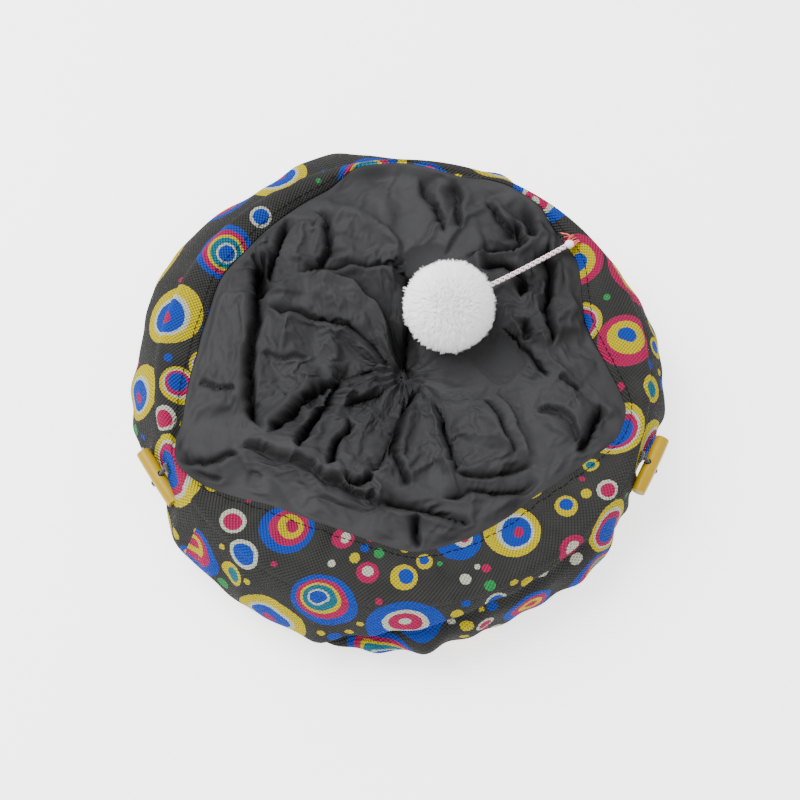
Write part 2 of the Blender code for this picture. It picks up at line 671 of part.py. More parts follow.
def build():
    clear_scene()
    group = collection("cat_tunnel")
    cutters = collection("cutters")
    print_canvas = material("printed canvas", (0.05, 0.05, 0.05), 0.85)
    nylon = material("black nylon", (0.035, 0.035, 0.037), 0.45)
    steel = material("spring steel", (0.55, 0.55, 0.57), 0.35, 1.0)
    brass = material("crimped brass", (0.72, 0.55, 0.25), 0.4, 1.0)
    plastic = material("yellow plastic", (0.95, 0.62, 0.02), 0.3)
    cord = material("black cord", (0.02, 0.02, 0.02), 0.8)
    braid = material("white and pink braid", (0.85, 0.72, 0.76), 0.8)
    fur = material("white fur", (0.9, 0.9, 0.9), 0.9)
    thread = material("red thread", (0.7, 0.12, 0.08), 0.8)

    make_base_hem(print_canvas, group)
    make_outer_sleeve(print_canvas, group)
    make_top_hem(print_canvas, group)
    make_inner_liner(nylon, group)
    make_hoop("base_hoop", BASE_HOOP_Z, steel, group)
    make_hoop("top_hoop", TOP_HOOP_Z, steel, group)
    make_coil(steel, group)
    make_crimp("base_hoop_ferrule", BASE_HOOP_Z, 0.0, HOOP_CRIMP_DEG, brass, group)
    make_crimp("top_hoop_ferrule", TOP_HOOP_Z, 0.0, HOOP_CRIMP_DEG, brass, group)
    lower = BASE_HOOP_Z + COIL_STEP
    make_crimp("coil_clip_base", lower, COIL_STEP, COIL_END_DEG, brass, group)
    make_crimp("coil_clip_top", TOP_HOOP_Z, COIL_STEP, COIL_END_DEG, brass, group)
    for side, degrees, tilt in (
        ("right", RIGHT_PINCH_DEG, 6.0),
        ("left", LEFT_PINCH_DEG, -10.0),
    ):
        make_toggle(side, degrees, tilt, plastic, group, cutters)
        make_stem(side, degrees, cord, group)
        make_loop(side, degrees, cord, group)
    make_pompom(fur, group)
    make_pompom_cord(braid, group)
    make_ball("cord_knot", CORD_KNOT_RADIUS, pompom_anchor(), braid, group)
    make_anchor_stitch(thread, group)


build()
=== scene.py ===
# %% [markdown]
# A pop-up cat tunnel, folded flat and held shut by two yellow toggles. The construction is
# loaded first as a fixed frame, in metres, with +Z up and the tunnel's axis on Z. Every
# piece made below is soft cloth, cord or fur that dresses that frame.

# %% Load the frame
import math

import bpy
import numpy as np
from mathutils import Matrix, Vector


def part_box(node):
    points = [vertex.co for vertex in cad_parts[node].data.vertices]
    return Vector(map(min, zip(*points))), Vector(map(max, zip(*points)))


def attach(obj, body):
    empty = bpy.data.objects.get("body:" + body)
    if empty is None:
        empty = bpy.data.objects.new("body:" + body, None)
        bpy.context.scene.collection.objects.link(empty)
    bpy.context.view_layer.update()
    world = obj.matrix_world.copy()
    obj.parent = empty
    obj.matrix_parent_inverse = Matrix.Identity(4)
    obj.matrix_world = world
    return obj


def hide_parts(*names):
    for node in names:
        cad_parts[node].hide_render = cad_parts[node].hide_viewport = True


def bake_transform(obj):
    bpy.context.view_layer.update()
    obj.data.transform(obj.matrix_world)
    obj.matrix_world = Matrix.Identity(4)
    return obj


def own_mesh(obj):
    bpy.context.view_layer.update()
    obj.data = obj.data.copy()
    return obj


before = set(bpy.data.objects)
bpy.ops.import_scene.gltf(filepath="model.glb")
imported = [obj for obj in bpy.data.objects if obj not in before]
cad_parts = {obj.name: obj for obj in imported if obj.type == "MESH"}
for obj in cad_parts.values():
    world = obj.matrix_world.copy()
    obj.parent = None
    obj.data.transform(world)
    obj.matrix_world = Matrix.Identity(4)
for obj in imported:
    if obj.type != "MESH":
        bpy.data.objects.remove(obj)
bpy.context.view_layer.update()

# %% [markdown]
# The photograph looks steeply down into the folded mouth. The rim of the hoop draws an
# ellipse, and its height against its width gives the camera's height above the floor. The
# camera comes first, because the folds of the lining are placed by looking through it.

# %% Camera
CAMERA_LENS = 60.0
SENSOR = 36.0
PICTURE = 800  # pixels on each side
CAMERA_UP_DEG = 65.46
CAMERA_DISTANCE = 0.699
CAMERA_TARGET = Vector((-0.0011, -0.0131, 0.040))


def put(name, data):
    """A new object in the scene."""
    made = bpy.data.objects.new(name, data)
    bpy.context.scene.collection.objects.link(made)
    return made


tilt = math.radians(CAMERA_UP_DEG)
BACKWARD = Vector((0, -math.cos(tilt), math.sin(tilt)))
UPWARD = Vector((0, math.sin(tilt), math.cos(tilt)))
camera_data = bpy.data.cameras.new("camera")
camera_data.lens = CAMERA_LENS
camera = put("camera", camera_data)
camera.location = CAMERA_TARGET + BACKWARD * CAMERA_DISTANCE
camera.rotation_euler = (math.pi / 2 - tilt, 0, 0)
bpy.context.scene.camera = camera
print("camera at", tuple(round(value, 3) for value in camera.location))


def seen_at(x, y, height):
    """The point at this height that the camera sees at this pixel of the picture."""
    reach = CAMERA_LENS / SENSOR * PICTURE
    ray = Vector((x - PICTURE / 2, 0, 0)) + UPWARD * (PICTURE / 2 - y) - BACKWARD * reach
    return camera.location + ray * (height - camera.location.z) / ray.z


# %% [markdown]
# Light for a dark, matte cloth wants to be broad and soft, so that each fold is drawn by a
# gentle gradient. One large lamp from the upper left gives the folds a direction, and a
# bright, even sky fills the shadows. A lit floor alone comes out grey, so the floor also
# glows.

# %% Floor and light
FLOOR_SIZE = 60.0  # so wide that its edge lies far off in a low view
KEY_PLACE = Vector((-0.55, 0.25, 1.15))
KEY_SIZE = 0.9
KEY_POWER = 30.0
SKY_STRENGTH = 1.45
FLOOR_GLOW = 1.8


def deselect():
    """Nothing may stay selected, because an operator acts on all that is."""
    if bpy.context.mode != "OBJECT":
        bpy.ops.object.mode_set(mode="OBJECT")
    bpy.ops.object.select_all(action="DESELECT")


deselect()
bpy.ops.mesh.primitive_grid_add(x_subdivisions=4, y_subdivisions=4, size=FLOOR_SIZE)
floor = bpy.context.object
floor.name = "floor"

key_data = bpy.data.lights.new("key", "AREA")
key_data.size = KEY_SIZE
key_data.energy = KEY_POWER
key = put("key", key_data)
key.location = KEY_PLACE
key.rotation_euler = KEY_PLACE.to_track_quat("Z", "Y").to_euler()

sky = bpy.data.worlds.new("sky")
sky.use_nodes = True
background = sky.node_tree.nodes["Background"]
background.inputs["Color"].default_value = (1, 1, 1, 1)
background.inputs["Strength"].default_value = SKY_STRENGTH
bpy.context.scene.world = sky
print("floor and one soft lamp")

# %% [markdown]
# A material is a small network of nodes. A few helpers keep the networks readable. They
# add a node with its settings and links, do a sum on numbers or vectors, mix two colours,
# spread colours along a value and turn a height into a bump. The last one makes a whole
# material of two cloudy tones, which is all that most of the pieces need.

# %% Node helpers
WHITE = (1.0, 1.0, 1.0, 1.0)


def blank_material(name):
    """A new material, its node tree and its Principled shader."""
    made = bpy.data.materials.new(name)
    made.use_nodes = True
    return made, made.node_tree, made.node_tree.nodes["Principled BSDF"]


def connect(tree, socket, value):
    if isinstance(value, bpy.types.NodeSocket):
        tree.links.new(value, socket)
    else:
        socket.default_value = value


def add_node(tree, kind, inputs=None, **settings):
    made = tree.nodes.new("ShaderNode" + kind)
    for key, value in settings.items():
        setattr(made, key, value)
    for key, value in (inputs or {}).items():
        connect(tree, made.inputs[key], value)
    return made


def calc(tree, operation, a, b=0.0, clamp=False):
    """One sum on numbers, such as ADD, MULTIPLY or LESS_THAN."""
    made = add_node(tree, "Math", {0: a, 1: b}, operation=operation, use_clamp=clamp)
    return made.outputs[0]


def vector_calc(tree, operation, a, b=(0, 0, 0), output="Vector"):
    made = add_node(tree, "VectorMath", {0: a, 1: b}, operation=operation)
    return made.outputs[output]


def blend_colour(tree, share, a, b):
    return add_node(tree, "Mix", {"Factor": share, 6: a, 7: b}, data_type="RGBA").outputs[2]


def bands(tree, share, stops, interpolation="CONSTANT"):
    """Colours that change at given shares, as rings of ink do."""
    made = add_node(tree, "ValToRGB", {"Fac": share})
    made.color_ramp.interpolation = interpolation
    while len(made.color_ramp.elements) < len(stops):
        made.color_ramp.elements.new(0.5)
    for element, (place, colour) in zip(made.color_ramp.elements, stops):
        element.position = place
        element.color = (*colour, 1.0)
    return made.outputs["Color"]


def bump(tree, shader, height, distance, strength=1.0):
    inputs = {"Height": height, "Distance": distance, "Strength": strength}
    made = add_node(tree, "Bump", inputs)
    tree.links.new(made.outputs["Normal"], shader.inputs["Normal"])


def object_place(tree):
    return add_node(tree, "TexCoord").outputs["Object"]


def noise(tree, place, scale, detail, **others):
    """Cloudy values near 0.5."""
    inputs = {"Vector": place, "Scale": scale, "Detail": detail, **others}
    return add_node(tree, "TexNoise", inputs).outputs["Fac"]


def two_tones(name, tones, scale, detail, looks, depth=0.0):
    """A material of two cloudy tones, which also raise its surface by this depth."""
    made, tree, shader = blank_material(name)
    cloud = noise(tree, object_place(tree), scale, detail)
    tree.links.new(bands(tree, cloud, tones, "LINEAR"), shader.inputs["Base Color"])
    for socket, value in looks.items():
        shader.inputs[socket].default_value = value
    if depth:
        bump(tree, shader, cloud, depth)
    return made


# %% Floor material
FLOOR_TONES = ((0.0, (0.93,) * 3), (1.0, (0.95,) * 3))
floor.data.materials.append(two_tones("pale floor", FLOOR_TONES, 3.0, 2.0, {
    "Roughness": 0.9, "Emission Color": WHITE, "Emission Strength": FLOOR_GLOW,
}))

# %% [markdown]
# The outer cloth is a dark canvas printed with rings and dots. The print is drawn by three
# layers of cells: large rings, small rings and dots. Each cell holds one motif whose
# radius, colours and lopsided centre come from the cell's random colour. A cell keeps its
# motif only where no larger motif lies, which is tested from the motif's own middle, so
# that a whole motif is kept or dropped.

# %% Ink colours
CHARCOAL = (0.0275, 0.0272, 0.0265)
BLUE = (0.006, 0.040, 0.30)
PINK = (0.30, 0.009, 0.062)
YELLOW = (0.42, 0.335, 0.0)
PALE = (0.38, 0.40, 0.31)
TEAL = (0.008, 0.11, 0.16)
GREEN = (0.015, 0.20, 0.05)

LARGE_RINGS = (
    ((0.0, PALE), (0.16, PINK), (0.42, PALE), (0.58, BLUE)),
    ((0.0, PINK), (0.26, YELLOW), (0.50, PINK), (0.74, BLUE)),
    ((0.0, BLUE), (0.30, PALE), (0.37, TEAL), (0.55, YELLOW), (0.64, PINK), (0.80, BLUE)),
    ((0.0, BLUE), (0.34, YELLOW), (0.68, PINK)),
    ((0.0, PINK), (0.22, BLUE), (0.58, PALE), (0.70, YELLOW)),
    ((0.0, BLUE), (0.52, PINK), (0.70, PALE), (0.80, YELLOW)),
)
SMALL_RINGS = (
    ((0.0, BLUE), (0.60, YELLOW)),
    ((0.0, PALE), (0.52, PINK)),
    ((0.0, TEAL), (0.62, YELLOW)),
    ((0.0, BLUE), (0.74, PALE)),
    ((0.0, PINK), (0.70, PALE)),
    ((0.0, YELLOW), (0.50, BLUE)),
)
DOT_SPLIT = 0.5  # a motif of the last layer is one flat colour
DOT_INKS = (YELLOW, PINK, PALE, BLUE, GREEN, YELLOW)
DOTS = tuple(((0.0, ink), (DOT_SPLIT, ink)) for ink in DOT_INKS)

# %% Ring layers
CELL_LARGE, CELL_SMALL, CELL_DOT = 0.0425, 0.0205, 0.0096
CELL_SCATTER = 0.62  # 0 sets the motifs in rows, 1 drops them anywhere
MOTIF_GAP = 0.0012
LOPSIDED = 0.75
INK_FRAY = 0.0005


def cells(tree, place, size, feature):
    """One reading of a layer's cells. The same size always gives the same cells."""
    return add_node(
        tree, "TexVoronoi", {"Vector": place, "Scale": 1 / size, "Randomness": CELL_SCATTER},
        voronoi_dimensions="2D", feature=feature,
    ).outputs


def motif(tree, place, size, least, most):
    """The middle, the radius and the three random numbers of the motif in this cell."""
    near = cells(tree, place, size, "F1")
    chance = add_node(tree, "SeparateColor", {"Color": near["Color"]}).outputs
    room = cells(tree, place, size, "N_SPHERE_RADIUS")["Radius"]
    wish = calc(tree, "ADD", calc(tree, "MULTIPLY", chance[0], most - least), least)
    radius = calc(tree, "MINIMUM", wish, calc(tree, "MULTIPLY", room, size))
    return near["Position"], radius, chance


def clear_of(tree, middle, radius, size, least, most):
    """1 where a motif with this middle and radius lies clear of a larger layer's."""
    other, reach, _ = motif(tree, middle, size, least, most)
    away = vector_calc(tree, "DISTANCE", middle, other, "Value")
    free = calc(tree, "SUBTRACT", calc(tree, "SUBTRACT", away, reach), radius)
    return calc(tree, "GREATER_THAN", free, MOTIF_GAP)


def ring_layer(tree, place, fray, size, least, most, palettes):
    """The colour of this layer and where it prints."""
    middle, radius, chance = motif(tree, place, size, least, most)
    offset = vector_calc(tree, "SUBTRACT", place, middle)
    away = vector_calc(tree, "LENGTH", offset, output="Value")
    share = calc(tree, "DIVIDE", calc(tree, "ADD", away, fray), radius)
    inward = calc(tree, "SUBTRACT", 1.0, share, clamp=True)
    aside, ahead = (calc(tree, "SUBTRACT", chance[number], 0.5) for number in (1, 2))
    shift = add_node(tree, "CombineXYZ", {"X": aside, "Y": ahead}).outputs[0]
    pull = calc(tree, "MULTIPLY", calc(tree, "MULTIPLY", radius, LOPSIDED), inward)
    moved = vector_calc(tree, "SUBTRACT", offset, add_node(
        tree, "VectorMath", {0: shift, "Scale": pull}, operation="SCALE").outputs[0])
    level = calc(tree, "ADD", vector_calc(tree, "LENGTH", moved, output="Value"), fray)
    level = calc(tree, "DIVIDE", level, radius)
    colour = bands(tree, level, palettes[0])
    for number, palette in enumerate(palettes[1:], 1):
        pick = calc(tree, "GREATER_THAN", chance[2], number / len(palettes))
        colour = blend_colour(tree, pick, colour, bands(tree, level, palette))
    return colour, calc(tree, "LESS_THAN", share, 1.0), middle, radius


# %% Printed canvas
LARGE_RADII = (0.0110, 0.0210)
SMALL_RADII = (0.0042, 0.0086)
DOT_RADII = (0.0013, 0.0036)
WEAVE = 0.0021
WEAVE_DEPTH = 0.00055
PIT_LEVEL, PIT_PAINTED_SHADE = -0.35, 0.50  # painted shade: the colour goes to the dark ground in the pits between the threads
PRINT_TURN_DEG = 24.0


def cloth_place(tree):
    """Metres across and along the cloth, which stay true when the tunnel opens."""
    flat = add_node(tree, "SeparateXYZ", {0: add_node(tree, "UVMap").outputs[0]}).outputs
    spot = add_node(tree, "SeparateXYZ", {0: add_node(tree, "TexCoord").outputs["Object"]})
    rest = add_node(tree, "Attribute", attribute_name="rest_height").outputs["Fac"]
    opened = calc(tree, "SUBTRACT", spot.outputs["Z"], rest)
    along = calc(tree, "SUBTRACT", flat["Y"], opened)
    place = add_node(tree, "CombineXYZ", {"X": flat["X"], "Y": along}).outputs[0]
    return place, flat["X"], along


def printed_canvas():
    made, tree, shader = blank_material("printed canvas")
    place, across, along = cloth_place(tree)
    turned = add_node(tree, "Mapping", {"Vector": place}).outputs[0]
    turned.node.inputs["Rotation"].default_value = (0, 0, math.radians(PRINT_TURN_DEG))
    rough = calc(tree, "SUBTRACT", noise(tree, place, 900.0, 1.0), 0.5)
    fray = calc(tree, "MULTIPLY", rough, 2 * INK_FRAY)
    layers = (
        (CELL_DOT, *DOT_RADII, DOTS),
        (CELL_SMALL, *SMALL_RADII, SMALL_RINGS),
        (CELL_LARGE, *LARGE_RADII, LARGE_RINGS),
    )
    colour = bands(tree, noise(tree, place, 60.0, 4.0), (
        (0.25, tuple(0.82 * part for part in CHARCOAL)),
        (0.75, tuple(1.25 * part for part in CHARCOAL)),
    ), "LINEAR")
    for number, layer in enumerate(layers):
        ink, inside, middle, radius = ring_layer(tree, turned, fray, *layer)
        for larger in layers[number + 1:]:
            clear = clear_of(tree, middle, radius, *larger[:3])
            inside = calc(tree, "MULTIPLY", inside, clear)
        colour = blend_colour(tree, inside, colour, ink)
    warp, weft = (calc(tree, "SINE", calc(tree, "MULTIPLY", way, 2 * math.pi / WEAVE))
                  for way in (across, along))
    knots = calc(tree, "MULTIPLY", warp, weft)
    # Painted shade: the colour goes to the charcoal ground in the pits between the threads.
    painted_pit_shade = calc(tree, "MULTIPLY", calc(tree, "LESS_THAN", knots, PIT_LEVEL), PIT_PAINTED_SHADE)
    colour = blend_colour(tree, painted_pit_shade, colour, (*CHARCOAL, 1.0))
    tree.links.new(colour, shader.inputs["Base Color"])
    shader.inputs["Roughness"].default_value = 0.88
    shader.inputs["Specular IOR Level"].default_value = 0.08
    bump(tree, shader, knots, WEAVE_DEPTH)
    return made


CANVAS_FINISH = printed_canvas()
print("printed canvas:", len(CANVAS_FINISH.node_tree.nodes), "nodes")

# %% [markdown]
# The other finishes are simpler. The nylon is matte, in two dark tones with fine crushed
# lines. Its colour also carries painted shade: little light gets into its deep folds, so
# the colour is mixed towards black there, as far as an attribute on the cloth says. Steel
# and brass are drawn metal, the plastic is smooth, and cord, braid, thread and fur show
# their yarns as a bump. The fur also has a painted glow.

# %% Nylon, metals, plastic, cord, fur and thread
# The black that the painted shade reaches at the bottom of the nylon's folds.
PAINTED_FOLD_BLACK = (0.0012, 0.0012, 0.0016, 1.0)
NYLON_TONES = ((0.3, (0.0230, 0.0230, 0.0243)), (0.7, (0.0290, 0.0290, 0.0304)))
PLASTIC_TONES = ((0.3, (0.29, 0.180, 0.0)), (0.7, (0.33, 0.210, 0.0)))
# How far the painted shade takes the deepest part of a fold towards black.
FOLD_PAINTED_SHADE = 0.93
CRUSH_DEPTH, CRUSH_STRENGTH = 0.0008, 0.12
METAL_DEPTH, PLASTIC_DEPTH, YARN_DEPTH = 0.00005, 0.00012, 0.0002
FUR_PAINTED_GLOW = 0.22  # painted light: a glow in place of the light that scatters through the fine hair


def nylon():
    made, tree, shader = blank_material("black nylon")
    spot = object_place(tree)
    colour = bands(tree, noise(tree, spot, 28.0, 5.0), NYLON_TONES, "LINEAR")
    # Painted shade: the colour is mixed towards black in the folds, as the cloth's attribute
    # says.
    painted_fold_shade = add_node(tree, "Attribute", attribute_name="painted_fold_shade").outputs["Fac"]
    colour = blend_colour(tree, calc(tree, "MULTIPLY", painted_fold_shade, FOLD_PAINTED_SHADE), colour, PAINTED_FOLD_BLACK)
    tree.links.new(colour, shader.inputs["Base Color"])
    shader.inputs["Specular IOR Level"].default_value = 0.12
    shader.inputs["Roughness"].default_value = 0.66
    crush = noise(tree, spot, 95.0, 3.0, Roughness=0.5, Distortion=1.2)
    sharp = calc(tree, "ABSOLUTE", calc(tree, "SUBTRACT", crush, 0.5))
    bump(tree, shader, calc(tree, "SUBTRACT", 0.5, sharp), CRUSH_DEPTH, CRUSH_STRENGTH)
    return made


def metal(name, colour, roughness):
    """Drawn metal, a little darker along its fine marks."""
    tones = ((0.3, tuple(0.8 * part for part in colour)), (0.7, colour))
    looks = {"Metallic": 1.0, "Roughness": roughness}
    return two_tones(name, tones, 700.0, 3.0, looks, METAL_DEPTH)


def yarn(name, low, high, scale, painted_glow=0.0, sheen=0.25, gloss=0.5):
    """Twisted yarn: a dark and a light tone, a ropy bump along the cord, and any painted glow
    that it is given.
    """
    return two_tones(name, ((0.35, low), (0.65, high)), scale, 4.0, {
        "Roughness": 0.8, "Sheen Weight": sheen, "Specular IOR Level": gloss,
        "Emission Color": WHITE, "Emission Strength": painted_glow,
    }, YARN_DEPTH)


NYLON_FINISH = nylon()
STEEL_FINISH = metal("spring steel", (0.55, 0.55, 0.57), 0.34)
BRASS_FINISH = metal("crimp brass", (0.72, 0.55, 0.25), 0.42)
PLASTIC_FINISH = two_tones("yellow plastic", PLASTIC_TONES, 120.0, 3.0, {
    "Roughness": 0.34, "Specular IOR Level": 0.22,
}, PLASTIC_DEPTH)
CORD_FINISH = yarn("black cord", (0.010, 0.010, 0.011), (0.032, 0.032, 0.034), 1800.0)
BRAID_WHITE = yarn("white braid", (0.74, 0.70, 0.71), (0.90, 0.88, 0.88), 1500.0)
BRAID_PINK = yarn("pink braid", (0.26, 0.012, 0.055), (0.38, 0.030, 0.095), 1500.0)
# The fur glows a little: painted light in place of the light that scatters in it.
FUR_FINISH = yarn("white fur", (0.93, 0.93, 0.93), (0.99, 0.99, 0.99), 400.0, FUR_PAINTED_GLOW)
RED_THREAD = yarn("red thread", (0.55, 0.06, 0.03), (0.85, 0.16, 0.09), 1500.0)
DARK_THREAD = yarn("dark thread", (0.004, 0.004, 0.004), (0.008, 0.008, 0.008), 1500.0,
                   sheen=0.0, gloss=0.1)

FRAME_FINISHES = {
    "top_hoop": STEEL_FINISH, "base_hoop": STEEL_FINISH,
    "top_hoop_ferrule": BRASS_FINISH, "base_hoop_ferrule": BRASS_FINISH,
    "coil_clip_top": BRASS_FINISH, "coil_clip_base": BRASS_FINISH,
}
for node, finish in FRAME_FINISHES.items():
    for material_slot in bpy.data.objects[node].material_slots:
        material_slot.material = finish
print("dressed", len(FRAME_FINISHES), "pieces of the frame")

# %% [markdown]
# The canvas is one long strip of cloth sewn into a tube. It starts at a seam inside the
# mouth, rolls over the top hoop, falls down the outside in soft folds, turns under the
# base hoop and ends at a seam there. It is modelled the same way: a flat grid is rolled
# round the axis, each row of it one step along the cloth. The outlines below say where the
# cloth lies round the rim. They are read off the photograph, in millimetres.

# %% Outlines of the canvas
MM = 0.001
RIM_RADIUS = 0.125
HEM_ROLL = 0.0039  # of the canvas round the hoop
TOP_HOOP_Z = (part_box("top_hoop")[0][2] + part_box("top_hoop")[1][2]) / 2
BASE_HOOP_Z = (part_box("base_hoop")[0][2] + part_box("base_hoop")[1][2]) / 2
WALL_RADIUS = RIM_RADIUS + HEM_ROLL
SEAM_Z = TOP_HOOP_Z - 0.0024

# The seam inside the mouth, as (degrees from +X, millimetres from the axis).
SEAM_LINE = (
    (-174, 112), (-166, 116), (-160, 123), (-155, 127), (-149, 122), (-142, 112),
    (-132, 100), (-122, 95), (-110, 93), (-99, 95), (-87, 100), (-74, 98.5), (-60, 97),
    (-47, 96.5), (-37, 101), (-28, 107.5), (-19, 117), (-11, 118), (-1, 108.5), (8, 102.5),
    (16, 100.5), (25, 106), (34, 115), (43, 118), (52, 123.5), (62, 125), (76, 121.5),
    (90, 126), (100, 126), (110, 118.5), (124, 114.5), (140, 111.5), (150, 112.5),
    (162, 108.3), (175, 108),
)
# How far the wall's folds stand out, as (degrees, millimetres).
WALL_FOLDS = (
    (-180, 14.5), (-168, 14), (-162, 10), (-155, 1.5), (-149, 13), (-142, 15.5), (-132, 13.5),
    (-124, 14.5), (-117, 13.2), (-109, 15.5), (-98, 12), (-86, 11.5), (-75, 9), (-60, 8.8),
    (-50, 9.2), (-45, 10.8), (-36, 7), (-28, 5), (-22, 1.0), (-16, 7.5), (-6, 9.2), (8, 8.6),
    (20, 8), (34, 4.8), (52, 2.0), (60, 4.0), (66, 8.5), (71, 3.2), (80, 2.2), (92, 5),
    (98, 10), (104, 14), (110, 16), (118, 12.8), (127, 9.5), (134, 14), (146, 15),
    (156, 17.5), (165, 15.5), (172, 13.5),
)
# How high the widest place of the wall lies, as (degrees, share of its height).
WALL_WIDEST = (
    (-150, 0.42), (-120, 0.36), (-90, 0.34), (-60, 0.42), (-30, 0.55), (0, 0.64), (30, 0.70),
    (70, 0.80), (110, 0.84), (140, 0.74), (175, 0.64),
)
EASE_DEG = 2.2


def ring_curve(table, ease=EASE_DEG):
    """One closed, eased curve through (degrees, value) pairs, for np.interp."""
    places, values = zip(*sorted(table))
    fine = np.arange(0, 360, 0.5)
    drawn = np.interp(fine, places, values, period=360)
    away = np.minimum(fine, 360 - fine)
    window = np.exp(-((away / ease) ** 2))
    eased = np.fft.ifft(np.fft.fft(drawn) * np.fft.fft(window / window.sum())).real
    return lambda degrees: np.interp(np.mod(degrees, 360), fine, eased, period=360)


seam_radius = ring_curve(SEAM_LINE)
wall_fold = ring_curve(WALL_FOLDS)
wall_widest = ring_curve(WALL_WIDEST, 12.0)
print("seam from", min(v for _, v in SEAM_LINE), "to", max(v for _, v in SEAM_LINE), "mm")

# %% Rolling a strip of cloth
SEAM_START = math.radians(-140.0)  # where the canvas's lengthwise seam lies


def smooth_step(value):
    eased = np.clip(value, 0.0, 1.0)
    return eased * eased * (3 - 2 * eased)


def ripples(seed, count, around, upward):
    """Wrinkles as a sum of a few slanting waves: ripple(angle, height) near -1 to 1."""
    draw = np.random.default_rng(seed)
    turns = draw.integers(*around, count)
    climbs = draw.uniform(-upward, upward, count)
    phases = draw.uniform(0, 2 * math.pi, count)

    def ripple(angle, height):
        total = sum(np.sin(t * angle + c * height + p)
                    for t, c, p in zip(turns, climbs, phases))
        return total / math.sqrt(count)

    return ripple


def read_all(items, name, width=3, kind=float):
    """One value of all of a mesh's points, corners or faces, as an array."""
    found = np.empty(len(items) * width, dtype=kind)
    items.foreach_get(name, found)
    return found.reshape(-1, width) if width > 1 else found


def roll_strip(name, columns, rows, clockwise, place):
    """Roll a flat grid into a ring. place(angle, row) gives radius, angle and height."""
    deselect()
    bpy.ops.mesh.primitive_grid_add(x_subdivisions=columns, y_subdivisions=rows, size=1.0)
    strip = bpy.context.object
    strip.name = name
    flat = read_all(strip.data.vertices, "co") + 0.5
    turn = -1 if clockwise else 1
    angle = SEAM_START + turn * 2 * math.pi * flat[:, 0]
    row = np.rint(flat[:, 1] * rows)
    radius, angle, height = place(angle, row)
    points = np.stack((radius * np.cos(angle), radius * np.sin(angle), height), axis=1)
    strip.data.vertices.foreach_set("co", points.ravel())
    return strip, flat, row, points


# %% [markdown]
# The wall's section is one bulge between the hoops. At the front a valley climbs round it
# from the floor to the rim, because the cloth follows the spiral spring. The cloth
# is drawn in at the two toggles, and small puckers run from there.

# %% The canvas's section
CANVAS_COLUMNS = 480
BAND_ROWS, ROLL_ROWS, WALL_ROWS, UNDER_ROWS = 16, 8, 40, 10
BAND_END = BAND_ROWS
ROLL_END = BAND_END + ROLL_ROWS
WALL_END = ROLL_END + WALL_ROWS
CANVAS_ROWS = WALL_END + UNDER_ROWS
ROLL_START_DEG = 105.0
LEAST_BAND = 0.0007
UNDER_END_DEG = -75.0
UNDER_SEAM = (0.1046, 0.0035)
FOLD_SHARE = 0.8  # below 1, the bulge is full and round
VALLEY_START_DEG, VALLEY_END_DEG = -116.0, -40.0
VALLEY_WIDTH, VALLEY_DEPTH = 0.0042, 0.85  # metres, and a share of the bulge
VALLEY_LINE = ((-116, 9), (-108, 14), (-92, 31), (-85, 36), (-73, 42), (-56, 46), (-40, 48.5))
TOGGLE_DEGREES = (-22.0, -155.0)
PUCKER_SPREAD_DEG = 13.0
PUCKERS, PUCKER_SLANT = 46, 260
BAND_RIPPLE, BAND_SWAY = 0.0011, 0.0010
WALL_RIPPLE, WALL_SWAY, PUCKER = 0.0011, 0.0012, 0.0012
FULL_BAND = 0.028  # a band this wide ripples fully
SEAM_STEP_DEG = 3
SECTION_ZOOM = 0.03  # the band's ripples change this slowly across it


def seam_height(degrees):
    """The seam lies in the mouth, or on the hoop where the rim is drawn in."""
    inner = seam_radius(degrees) * MM
    climb = np.sqrt(np.maximum(HEM_ROLL**2 - (RIM_RADIUS - inner) ** 2, 0))
    over = (inner > RIM_RADIUS - HEM_ROLL) * (TOP_HOOP_Z + climb - SEAM_Z)
    return SEAM_Z + over


seam_level = ring_curve(
    [(place, float(seam_height(place))) for place in range(0, 360, SEAM_STEP_DEG)], 3.0)
band_ripple = ripples(3, 7, (26, 70), 60.0)
band_sway = ripples(5, 4, (3, 9), 20.0)
wall_ripple = ripples(7, 8, (12, 44), 130.0)
wall_sway = ripples(11, 5, (4, 14), 90.0)
valley_places, valley_heights = zip(*VALLEY_LINE)


def pinched(degrees):
    """1 at a toggle, falling to 0 away from it."""
    total = 0
    for place in TOGGLE_DEGREES:
        away = np.abs((degrees - place + 180) % 360 - 180)
        total = total + np.exp(-((away / PUCKER_SPREAD_DEG) ** 2))
    return total


def bow(start, middle, end, share):
    """A curve that leaves its start towards the middle point and reaches its end."""
    return start * (1 - share) ** 2 + middle * 2 * share * (1 - share) + end * share**2


def roll_start(degrees):
    """The turn about the hoop, in radians, where the band ends and the roll begins."""
    inner = seam_radius(degrees) * MM + LEAST_BAND
    furthest = math.cos(math.radians(ROLL_START_DEG))
    return np.arccos(np.clip((inner - RIM_RADIUS) / HEM_ROLL, furthest, 0.7))


def band_place(angle, degrees, share):
    """From the seam inside the mouth up to the roll over the hoop."""
    inner = seam_radius(degrees) * MM
    end_r, end_z = roll_place(roll_start(degrees), TOP_HOOP_Z)
    start_z = np.minimum(seam_level(degrees), end_z - 0.0001)
    radius = bow(inner, (inner + end_r) / 2, end_r, share)
    height = bow(start_z, np.maximum(end_z - 0.0006, start_z), end_z, share)
    wide = np.clip((end_r - inner) / FULL_BAND, 0, 1)
    loose = (1 - share) * smooth_step(share * 8 + 0.3)
    height = height + loose * wide * BAND_RIPPLE * band_ripple(angle, share * SECTION_ZOOM)
    height = height + loose * BAND_SWAY * band_sway(angle, share * SECTION_ZOOM)
    return radius, height


